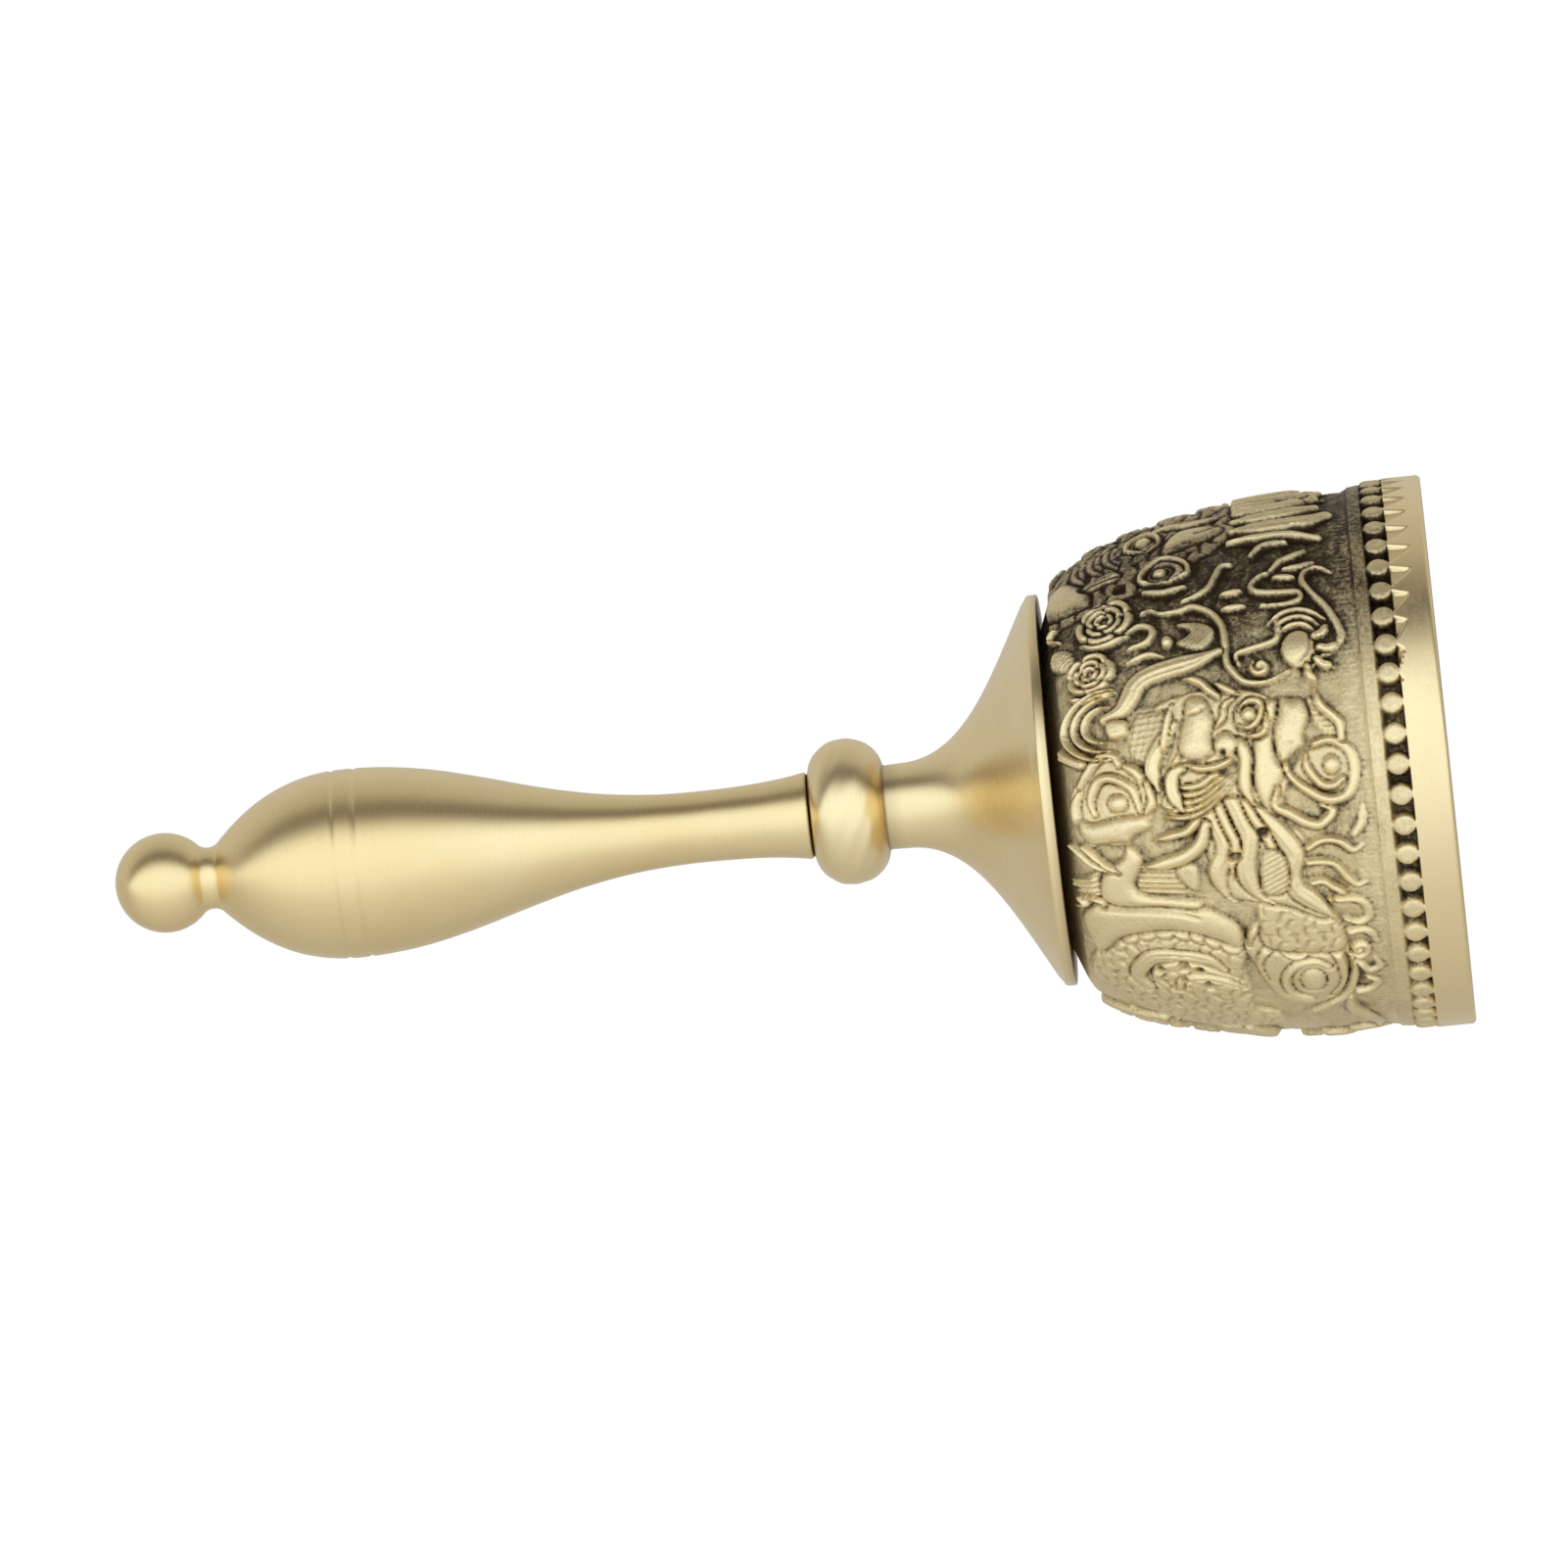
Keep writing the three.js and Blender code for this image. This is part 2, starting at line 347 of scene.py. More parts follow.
def smooth_line(points, closed=False, steps=7):
    """A Catmull-Rom curve through the points."""
    points = np.array(points, float)
    if closed:
        padded = np.vstack([points[-1], points, points[:2]])
    else:
        padded = np.vstack([2 * points[0] - points[1], points, 2 * points[-1] - points[-2]])
    t = np.linspace(0, 1, steps, endpoint=False)[:, None]
    spans = []
    for a, b, c, d in zip(padded, padded[1:], padded[2:], padded[3:]):
        bend = (2 * a - 5 * b + 4 * c - d) * t**2 + (3 * b - a - 3 * c + d) * t**3
        spans.append(b + 0.5 * ((c - a) * t + bend))
    if not closed:
        spans.append(points[-1:])
    return np.vstack(spans)


def ease(value):
    """From 0 to 1 and flat at both ends, for values from 0 to 1."""
    value = np.clip(value, 0, 1)
    return value * value * (3 - 2 * value)


def spiral(centre, radius, turns, start):
    """Points winding in to a centre. Positive turns wind from +X towards the crown."""
    count = max(6, int(abs(turns) * 9))
    share = np.linspace(0, 1, count)
    angle = np.radians(start) + 2 * np.pi * turns * share
    reach = radius * (1 - 0.88 * share)
    across = centre[0] + reach * np.cos(angle) / MM_PER_DEGREE
    return list(zip(across, centre[1] + reach * np.sin(angle)))


class Relief:
    """Heights on the unrolled wall, from 0 at the ground to 1 at the top of the relief."""

    def __init__(self, angles, heights):
        self.angles = angles
        self.heights = heights
        self.level = np.zeros((len(heights), len(angles)))

    def near(self, points, margin):
        """Window of the grid near points, with its coordinates and the points' in millimetres."""
        origin = points[0][0]
        x = ((self.angles - origin + 180) % 360 - 180) * MM_PER_DEGREE
        line = (points - (origin, 0)) * (MM_PER_DEGREE, 1)
        low, high = line.min(axis=0) - margin, line.max(axis=0) + margin
        columns = np.where((x > low[0]) & (x < high[0]))[0]
        rows = np.where((self.heights > low[1]) & (self.heights < high[1]))[0]
        window = np.ix_(rows, columns)
        z = self.heights[rows][:, None]
        return window, x[columns][None, :] + 0 * z, z, line

    @staticmethod
    def nearest(x, z, line):
        """Distance to a line, how far along it from 0 to 1, and on which side of it."""
        best = np.full(x.shape, 1e9)
        share = np.zeros(x.shape)
        side = np.zeros(x.shape)
        steps = np.diff(line, axis=0)
        lengths = np.maximum(np.linalg.norm(steps, axis=1), 1e-6)
        run = np.r_[0, np.cumsum(lengths)]
        for start, step, length, before in zip(line, steps, lengths, run):
            dx, dz = x - start[0], z - start[1]
            t = np.clip((dx * step[0] + dz * step[1]) / length**2, 0, 1)
            ex, ez = dx - t * step[0], dz - t * step[1]
            distance = np.hypot(ex, ez)
            closer = distance < best
            best = np.where(closer, distance, best)
            share = np.where(closer, (before + t * length) / run[-1], share)
            side = np.where(closer, np.sign(step[0] * ez - step[1] * ex), side)
        return best, share, side

    def lay(self, window, inside, value, beyond, moat):
        """Puts a shape on top, with a sunk line round it that is moat wide."""
        ground = self.level[window]
        sunk = ground * (0.25 + 0.75 * ease(beyond / moat))
        self.level[window] = np.where(inside, value, sunk)

    def band(self, width, points, top=0.95, lines=0, ends=(0.35, 0.35), moat=0.28, flat=2):
        """A raised band along points. It may taper at its ends and carry parallel lines."""
        curve = smooth_line(points)
        window, x, z, line = self.near(curve, width + moat)
        distance, share, side = self.nearest(x, z, line)
        start, end = ends
        taper = (start + (1 - start) * ease(share / 0.3)) * (end + (1 - end) * ease((1 - share) / 0.3))
        half = width / 2 * taper
        across = distance / half
        crown = np.sqrt(np.clip(1 - across**flat, 0, 1))
        if lines:
            ridges = np.abs(np.sin(np.pi * lines * (side * np.minimum(across, 1) + 1) / 2))
            crown = crown * (0.74 + 0.26 * np.sqrt(ridges))
        value = top * crown * (0.8 + 0.2 * taper)
        self.lay(window, across < 1, value, distance - half, moat)

    def shape(self, points, top=0.85, edge=0.8, moat=0.28, smooth=True, texture=None):
        """A raised area inside a closed outline, rounded over a width of edge."""
        curve = smooth_line(points, closed=True) if smooth else np.array(points, float)
        window, x, z, line = self.near(curve, moat + 0.1)
        line = np.vstack([line, line[:1]])
        distance, _, _ = self.nearest(x, z, line)
        inside = np.zeros(x.shape, bool)
        for (ax, az), (bx, bz) in zip(line, line[1:]):
            if az != bz:
                crosses = (az > z) != (bz > z)
                inside ^= crosses & (x < ax + (bx - ax) * (z - az) / (bz - az))
        crown = np.sqrt(1 - (1 - np.clip(distance / edge, 0, 1)) ** 2)
        foot = 0.15
        value = foot + (top - foot) * crown
        if texture:
            value = value * texture(x, z + 0 * x)
        self.lay(window, inside, value, distance, moat)

    def ball(self, centre, radii, top=1.0, moat=0.25, hollow=0.0):
        """A low dome, or with hollow above 0 a pit that deep."""
        window, x, z, line = self.near(np.array([centre], float), max(radii) + moat)
        away = np.hypot((x - line[0, 0]) / radii[0], (z - line[0, 1]) / radii[1])
        if hollow:
            self.level[window] *= 1 - hollow * ease((1.25 - away) / 0.5)
            return
        crown = np.sqrt(np.clip(1 - away**2, 0, 1))
        self.lay(window, away < 1, top * (0.35 + 0.65 * crown), (away - 1) * min(radii), moat)

    def pit(self, centre, radii, depth=0.9):
        """A dimple that lowers whatever is there."""
        self.ball(centre, radii, hollow=depth)

    def groove(self, width, points, depth=0.5):
        """A narrow line cut into whatever is there."""
        curve = smooth_line(points)
        window, x, z, line = self.near(curve, width)
        distance, share, _ = self.nearest(x, z, line)
        cut = ease(1 - distance / width) * ease(share / 0.1) * ease((1 - share) / 0.1)
        self.level[window] *= 1 - depth * cut

    def rose(self, centre, radius, turn=0.0):
        """Petals in rings round a bud, each ring turned against the one outside it."""
        self.ball(centre, (radius, radius), top=0.55)
        for reach, petals, wide in ((0.86, 5, 0.36), (0.56, 4, 0.3), (0.27, 3, 0.24)):
            turn += 0.6
            for petal in range(petals):
                sweep = np.linspace(-0.56, 0.56, 7) * 2 * np.pi / petals
                angles = turn + 2 * np.pi * petal / petals + sweep
                out = radius * reach * (1.08 - 0.3 * (sweep / sweep[-1]) ** 4)
                across = centre[0] + out * np.cos(angles) / MM_PER_DEGREE
                points = list(zip(across, centre[1] + out * np.sin(angles)))
                self.band(wide * radius, points, ends=(0.5, 0.75), moat=0.12)

    def curl(self, centre, radius, turns, start, width, top=0.95):
        """A band that winds in to a centre."""
        self.band(width, spiral(centre, radius, turns, start), top=top, ends=(0.4, 0.9))


def scales(pitch, sharp):
    """Texture of overlapping scales, in rows across."""
    def texture(x, z):
        wander = 0.25 * np.sin(1.9 * x) + 0.2 * np.sin(2.3 * z + x)
        row = np.floor((z + wander) / (0.75 * pitch))
        u = (x / pitch + 0.5 * (row % 2)) % 1 - 0.5
        v = ((z + wander) / (0.75 * pitch)) % 1
        edge = np.hypot(u, v - 0.1) - 0.6
        return 1 - sharp * np.exp(-((edge / 0.13) ** 2)) * ease(v / 0.3) * ease((u + 0.5) / 0.4)
    return texture


def hatched(pitch, slope, depth=0.4):
    """Texture of close parallel lines."""
    def texture(x, z):
        return 1 - depth * (0.5 + 0.5 * np.cos(2 * np.pi * (x + slope * z) / pitch))
    return texture


def granular(pitch):
    """Texture of small lumps."""
    def texture(x, z):
        return 1 - 0.5 * (0.5 + 0.25 * (np.cos(6.28 * x / pitch) + np.cos(6.28 * z / pitch + 3 * x)))
    return texture


def flame(relief, root, tip, sway=0.8, width=1.3):
    """A tongue of flame from root to tip, bent like an S."""
    root, tip = np.array(root, float), np.array(tip, float)
    run = tip - root
    aside = np.array([run[1], -run[0] * MM_PER_DEGREE**2]) / np.hypot(run[0] * MM_PER_DEGREE, run[1])
    bends = (0, 0.7, 0.9, -0.5, -0.2)
    points = [root + run * share + aside * sway * bend for share, bend in zip((0, 0.25, 0.5, 0.8, 1), bends)]
    relief.band(width, points, lines=2, ends=(0.9, 0.12), flat=4)


def cloud(relief, centre, size=1.0, flip=1):
    """A cloud head: a spiral in the middle, three lobes over it and a tail to one side."""
    across, up = centre
    def at(points):
        return [(across + flip * size * a, up + size * b) for a, b in points]
    relief.band(1.1 * size, at([(-9, -1.4), (-8, 1.2), (-4.5, 2.6), (-1, 2.4)]), lines=2)
    relief.band(1.1 * size, at([(-3, 2), (0, 3.4), (4, 3.2), (6, 1.6)]), lines=2)
    relief.band(1.1 * size, at([(5, 2), (8, 1.8), (9, -0.2), (7, -1.8), (3, -2.2)]), lines=2)
    relief.band(0.9 * size, at([(-10, -2.4), (-14, -2.8), (-18, -1.6), (-22, -2.2)]), ends=(1, 0.2))
    relief.ball(at([(0, 0)])[0], (2.2 * size, 1.9 * size), top=0.6)
    relief.curl(at([(0, 0)])[0], 1.9 * size, 1.5 * flip, 200, 0.7 * size)


def feather(relief, points, width):
    """A barbed feather along points, with an oval eye near its tip."""
    relief.band(width, points, top=0.8, ends=(0.3, 0.75), flat=4)
    curve = smooth_line(points, steps=5)
    for a, b in zip(curve[1:-2:2], curve[2:-1:2]):
        step = (b - a) * (MM_PER_DEGREE, 1)
        step /= np.linalg.norm(step)
        for side in (-1, 1):
            out = np.array([-step[1] * side, step[0] * side]) * width * 0.45 - step * 0.5
            relief.groove(0.2, [a, a + out * (0.5 / MM_PER_DEGREE, 0.5), a + out / (MM_PER_DEGREE, 1)], 0.45)
    relief.band(0.35, points[:-1], top=0.95, moat=0.15)
    relief.ball(points[-1], (width * 0.42, width * 0.55), top=0.7)
    relief.ball(points[-1], (width * 0.2, width * 0.28))


# ------------------------------------------------------------------ what is cast on the wall

# Points are degrees from the front and millimetres above the mouth, traced one by one. Those in
# moved() and fitted() had come out short of their place.


def moved(across, up):
    """A traced point, stretched round the bell and lifted to where the photograph has it."""
    if across < 0:
        across *= 1.02
    elif across > 75:
        across += 9.6
    else:
        across *= 1 + 0.0017 * across
    lift = 0.5 + 0.35 * min(max((up - 10) / 4, 0), 1)
    return round(across, 1), round(up + lift, 1)


def fitted(*points):
    """Traced points, each one moved."""
    return [moved(*point) for point in points]


def dragon_body(relief):
    """Scaled coil on the left, with the smooth belly band and its scalloped edge along it."""
    relief.shape(
        fitted((-62, 36.8), (-66, 34), (-73, 31), (-76, 26), (-74, 20.5), (-71, 18), (-66, 18.4), (-64, 20.3),
               (-60.5, 21), (-55, 20.8), (-48, 21.4), (-42, 21.2), (-39, 23.5), (-37.5, 27), (-38, 31),
               (-41, 33.8), (-47, 35.8), (-55, 37)),
        top=0.72, edge=1.6, texture=scales(1.7, 0.45),
    )
    for across, height in fitted((-43, 33.9), (-39.8, 32.6), (-37.9, 30.8), (-37, 28.9), (-36.9, 27),
                                 (-37.6, 25.3), (-38.8, 23.9), (-40.5, 22.4)):
        relief.ball((across, height), (1.25, 1.1), top=0.85, moat=0.12)
    relief.shape(
        fitted((-48, 35.8), (-41, 33.4), (-38.2, 31.2), (-36.6, 28.4), (-37.2, 25.9), (-38.6, 23.9),
               (-41, 21.3), (-35.5, 21.3), (-31, 24), (-29.7, 27.5), (-30.3, 31), (-31.6, 34.6),
               (-33.5, 36.4), (-39, 37.2)),
        top=0.92, edge=1.5, moat=0.5,
    )
    relief.groove(0.35, fitted((-32.5, 35.5), (-31.9, 33), (-31.4, 30), (-31.6, 27), (-33, 24.6)), 0.35)
    relief.band(1.3, fitted((-76, 30), (-80, 33), (-86, 35.5), (-93, 36.4)), lines=2, ends=(1, 0.4))


def dragon_paw(relief):
    """Clawed paw with pierced knuckles, and cloud wisps under it."""
    relief.band(1.9, fitted((-57, 31), (-53, 32), (-48, 31.3), (-44.8, 29.8), (-44.2, 27), (-45, 24.6),
                            (-48, 23.4)), lines=3, ends=(0.7, 0.4), flat=4)
    relief.band(1.4, fitted((-55.8, 29.2), (-52.6, 30.2), (-48.8, 29.4), (-47.2, 27.3), (-48.4, 24.8),
                            (-51, 22)), lines=2, ends=(0.5, 0.3))
    relief.band(1.0, fitted((-56, 28), (-52.6, 27.6), (-50.4, 25.6), (-51.4, 23.2), (-54, 21.6)),
                ends=(0.8, 0.3))
    for centre in fitted((-49.4, 29.6), (-47.2, 27.3), (-48.4, 25.8), (-52.5, 27.2), (-53.8, 25),
                         (-57, 21.4)):
        relief.pit(centre, (0.62, 0.55))
    relief.shape([(-36, 21.2), (-35, 19.4), (-37.4, 17.8), (-40.4, 16.6), (-41, 13.8), (-44, 12.2),
                  (-49, 11.7), (-55, 12), (-60, 13.4), (-62.4, 16), (-60, 18.8), (-55, 20), (-48, 21),
                  (-42, 22)], top=0.62, edge=0.8)
    relief.band(1.15, [(-41, 21.5), (-37.6, 21), (-35.6, 19.8), (-37, 18.5), (-39.4, 18.2), (-41.2, 18.8)],
                moat=0.18)
    relief.band(1.2, [(-52, 20.1), (-47.6, 20.7), (-43.8, 20.2), (-41.6, 18.9), (-43.4, 17.8), (-44.6, 16.9),
                      (-43, 15.6), (-42.6, 14.1), (-44.8, 12.9), (-49, 12.4), (-54, 12.5), (-58.4, 13.8)],
                moat=0.18)
    relief.band(1.1, [(-59.4, 15.8), (-56.6, 17.8), (-51.4, 18.2), (-47.4, 17), (-46.4, 15.2), (-48.4, 13.8)],
                ends=(0.5, 0.6), moat=0.18)
    relief.ball((-52.5, 15.5), (1.7, 1.3), moat=0.18)
    relief.band(1.0, [(-66.4, 16), (-62.8, 14.2), (-58.8, 12.2), (-52, 11.3), (-46.8, 11.4)], lines=2)


def dragon_mane(relief):
    """Neck scales, and the mane's long strands on their base, swept back from the head."""
    relief.shape(
        [(-42, 19.8), (-35, 20.4), (-27, 20), (-17, 19.4), (-12, 17.8), (-15, 15), (-22, 15.3), (-29, 14.4),
         (-33, 12.6), (-38, 11.8), (-44, 12), (-44, 15.8)],
        top=0.74, edge=1.3, texture=scales(1.8, 0.45),
    )
    relief.shape([(-4, 25.4), (-12, 24.8), (-22, 24.4), (-28, 23), (-30, 20), (-31, 17.4), (-35, 13.6),
                  (-30, 13.6), (-24, 15.4), (-18, 15), (-12, 16.6), (-7, 18.2), (-3, 20.2)], top=0.55,
                 edge=0.7)
    relief.shape([(-22, 18.9), (-24.4, 19.2), (-27, 18.9), (-28.2, 17.9), (-26, 17.2), (-23, 17.4)], edge=0.6)
    for width, points in (
        (2.1, [(-29.6, 22.2), (-28.4, 22.9), (-25, 23.6), (-21.5, 23.7), (-18, 22.9), (-14, 22.9),
               (-10, 23.8), (-6, 24.3), (-1, 24.6)]),
        (2.2, [(-30.2, 18.5), (-28, 19.9), (-24, 20.8), (-20, 20.9), (-14.5, 20.3), (-10.5, 20.8), (-7, 21.4),
               (-2, 22.4)]),
        (2.1, [(-36.6, 12.1), (-34, 12.9), (-30, 14.8), (-27, 16.2), (-23, 16.5), (-19, 16), (-15, 17),
               (-11.5, 18.2), (-8, 19.2)]),
        (1.1, [(-24, 22.2), (-20.5, 22.3), (-16, 21.7), (-12, 22.3), (-8, 22.9), (-4, 23.3)]),
        (1.1, [(-26, 18.8), (-22.6, 18.6), (-18.4, 18.1), (-14, 18.7), (-10, 19.7), (-5, 20.6)]),
        (1.6, [(-20.6, 31.4), (-19.4, 28.6), (-17.8, 26.6), (-15, 25.1), (-11, 24.5)]),
        (1.1, [(-14.2, 30.2), (-13, 27.9), (-12.2, 26.4), (-10, 25.4), (-7.8, 25.8), (-7.4, 27.4)]),
    ):
        relief.band(width, points, top=1.0, lines=3 if width > 2 else 0, ends=(0.12, 0.8), moat=0.18)
    for centre in ((-15.2, 29.2), (-14.6, 27), (-10.6, 28.6), (-8.6, 26.8), (-18.5, 21.9), (-13.4, 18.9)):
        relief.pit(centre, (0.45, 0.6))


def dragon_leg(relief):
    """Smooth foreleg with its fin, and the pleated hollow beside it."""
    relief.shape(fitted((-28.5, 31.2), (-20.5, 31.2), (-20, 28), (-22, 26.3), (-28.8, 26.2)), top=0.45,
                 edge=0.4, texture=hatched(0.62, 0, 0.75), smooth=False)
    relief.shape(
        fitted((-31, 33.5), (-28, 35), (-22, 34.2), (-18, 32.4), (-14.6, 31.6), (-18.3, 30.2), (-24.3, 31.4),
               (-27, 30.6), (-27.6, 28), (-28.4, 25), (-30.6, 25.4), (-30.2, 29)),
        top=0.9, edge=1.1, moat=0.4,
    )
    relief.band(1.0, fitted((-34.4, 37.6), (-32.6, 36.6), (-31, 37), (-29.8, 36), (-30.6, 34.8), (-32, 34.8)))
    relief.shape(fitted((-29, 34.9), (-30.6, 38.2), (-28.2, 37.2), (-28, 38.6), (-25.6, 38.2), (-24, 36.4),
                        (-22, 34.9)), top=0.85, edge=0.7, smooth=False, texture=hatched(0.7, 0.3))
    relief.shape(fitted((-26.4, 25.2), (-22.5, 27), (-18.8, 26.6), (-20.4, 24.8)), top=0.8, edge=0.7,
                 texture=hatched(0.55, 1.1))


def dragon_head(relief):
    """Muzzle in profile: brow and hair, dome of the forehead, nose, lips, jaw and crest."""
    relief.shape([(-9, 27.6), (-8, 24.8), (-5, 21.4), (-8.4, 17.6), (-2, 15.8), (6, 16.4), (15, 17),
                  (18.4, 21), (18.6, 25), (16.6, 28.4), (8, 28), (2, 29.4), (-4, 29)], top=0.6, edge=0.7)
    relief.shape([(2.6, 27.8), (5.5, 31.2), (11, 31.6), (16, 30.2), (15.6, 27.2), (9, 26.6)], top=0.5,
                 edge=0.8, texture=granular(0.7), smooth=False)
    for step in range(4):
        relief.band(0.75, [(-6.5 + 1.6 * step, 29 - 0.3 * step), (-1 + 1.6 * step, 28.2 - 0.5 * step),
                           (2.4 + step, 26.4)], ends=(0.2, 0.6), moat=0.12)
    for step in range(5):
        relief.band(0.85, [(-9 + 1.7 * step, 28.6 - 0.3 * step), (-8.6 + 1.6 * step, 25.6 - 0.2 * step),
                           (-6 + 1.5 * step, 23.4 - 0.1 * step), (-2.4 + step, 21.4)], ends=(0.3, 0.5),
                    moat=0.14)
    relief.band(1.7, [(-2.4, 28.8), (3.2, 29.2), (7.5, 28.2), (12, 26.6)], lines=3, ends=(0.3, 0.5), flat=3)
    relief.band(1.5, [(-7.6, 26.6), (-3, 27.4), (0.6, 27.2), (2, 26.2)], lines=2, ends=(0.3, 0.6), flat=3)
    relief.shape([(17.9, 24.3), (16.6, 23.3), (13.7, 22.8), (11.2, 22.6), (8.5, 23), (6.2, 22.9), (4.6, 23.1),
                  (3.2, 24.3), (3.7, 25.6), (6, 26.4), (9.2, 26.2), (13.6, 25.6), (17.1, 25.2)],
                 top=1.0, edge=2.1, moat=0.3)
    relief.band(0.9, [(16.8, 26.6), (13, 27.2), (9, 27.7), (5.4, 27.9)], top=0.9, ends=(0.3, 0.3), moat=0.14)
    relief.groove(0.18, [(15, 23.4), (13.6, 24.2), (13.8, 25.2)], 0.4)
    relief.shape([(7, 18.9), (1.5, 19.2), (-2.6, 19.3), (-7.5, 18.7), (-10.4, 17.3), (-8, 16.6), (-4.5, 16.8),
                  (-0.6, 16), (2.4, 16.8), (7, 16.8), (11.3, 16.4), (14.3, 16.2), (14.5, 17.7), (10.8, 18.2)],
                 top=0.92, edge=1.2, moat=0.2)
    relief.band(1.5, [(-7.4, 19.5), (-4.2, 20.1), (-0.8, 20.1), (3, 19.85), (5.7, 20.3), (6.3, 21.4)],
                ends=(0.25, 0.9))
    relief.pit((1.2, 21.8), (0.9, 1.1), 0.9)
    relief.band(0.85, [(2.6, 25.8), (1.5, 24.4), (1.5, 22.8), (2.5, 21.5), (3.9, 21)], ends=(0.5, 0.5))
    relief.ball((6.1, 21.7), (1.25, 1.15))
    relief.pit((4.3, 22), (0.35, 0.3))
    relief.band(0.7, [(10.1, 22.5), (12.1, 21.7), (14.6, 21.4), (16, 20.4)], top=0.85, ends=(0.4, 0.4))
    relief.shape([(9.2, 20.4), (8.6, 19.2), (10, 18.1), (12.5, 17.5), (14.8, 17.8), (15.3, 19.2),
                  (13.4, 20.5)], top=0.6, edge=0.5)
    relief.band(0.75, [(9.8, 20.2), (9.1, 19.2), (10.2, 18.4), (12.5, 17.8), (14.4, 18), (14.8, 19.1),
                       (13.2, 20.1)])
    relief.ball((12, 19.1), (0.75, 0.7))
    relief.band(0.7, [(11.8, 17.4), (8.4, 17.6), (7.2, 18.4), (7.3, 19.4)], ends=(0.4, 0.6))
    relief.band(2.2, [(15.9, 33.4), (17.4, 31.8), (20, 30.8), (22.7, 30.1), (24.4, 28.8), (25.2, 26.8),
                      (25.9, 23.8), (27.2, 21.4)], lines=3, ends=(0.6, 0.4), flat=3)
    relief.band(0.95, [(22.2, 25.2), (20.8, 23.7), (18.6, 22.8), (16.9, 22)], ends=(0.2, 0.7))
    relief.band(0.85, [(20, 22.2), (18.4, 21.2), (16.6, 20)], top=0.8)
    relief.band(1.3, [(5.8, 36.4), (7, 37.3), (9.5, 38.5), (12.6, 39.4)], lines=2, ends=(1, 0.4))
    for radius in (1.9, 2.8, 3.7):
        sweep = np.linspace(-0.2, 3.2, 9)
        bow = [(14.7 + radius * math.cos(a) / 0.42, 33.4 + radius * 1.2 * math.sin(a)) for a in sweep]
        relief.band(0.75, bow, moat=0.12)
    relief.shape([(11.2, 31.4), (14.9, 31.4), (15.1, 33.4), (11, 33.2)], top=0.85, edge=0.6)


def dragon_beard(relief):
    """Hooks, a spiral shell and leaves under the jaw."""
    relief.band(1.15, [(-4.6, 17), (-8, 17.4), (-9.9, 16.1), (-12.1, 14.6), (-12.9, 13.2), (-11.4, 12),
                       (-9.6, 11.7), (-8.4, 12.6)], ends=(0.5, 0.8))
    relief.shape([(14.9, 15.8), (14.4, 14.9), (14.3, 13.9), (12.9, 13.4), (10.2, 13.2), (6.9, 13.8),
                  (4.2, 13.9), (3.2, 14.6), (1.8, 15.5), (0.4, 16.2), (2.7, 16.7), (5.4, 16.9), (8.4, 16.8),
                  (11.2, 16.3), (13.1, 16.1)], top=0.95, edge=1.5, moat=0.3)
    for lift in (0, 0.5, 1.0):
        relief.groove(0.16, [(1.6, 15.4 + lift), (3.4, 15.3 + 0.9 * lift), (5.2, 15 + 0.8 * lift)], 0.3)
    relief.shape([(5.4, 9.9), (9, 10.4), (13, 11.9), (14.4, 13.2), (10.6, 12.9), (7, 12.2), (5.2, 11.4)],
                 top=0.6, edge=0.4, texture=granular(0.55))
    relief.shape([(3.8, 12.9), (-1, 15.4), (-5, 13.9), (-7.2, 11.9), (-6.6, 10), (-2, 9.3), (2.4, 9.7)],
                 top=0.5, edge=0.5)
    relief.band(1.1, [(0.4, 16), (-2.1, 15.6), (-5, 14.3), (-7.8, 12.1), (-7.2, 10.2), (-3.8, 9.3),
                      (0.9, 9.3), (3.8, 10.3), (4.7, 11.6), (4.1, 12.9)], ends=(0.6, 0.7))
    relief.band(0.95, [(2.2, 14), (-0.8, 13.8), (-4.2, 12.7), (-5, 11.4), (-3.6, 10.4)], ends=(0.5, 0.6))
    relief.ball((-0.6, 11.35), (0.95, 0.8))
    relief.band(1.0, [(4.8, 10.2), (8, 10.2), (10, 10.9), (12.4, 11.9), (16, 12.3)], ends=(0.7, 0.3))
    relief.shape([(-28, 19.3), (-24, 19.7), (-18, 19.1), (-18.2, 17.4), (-22.4, 16.7), (-27.5, 17.2)],
                 top=0.75, edge=0.7, texture=hatched(0.55, 0.5))


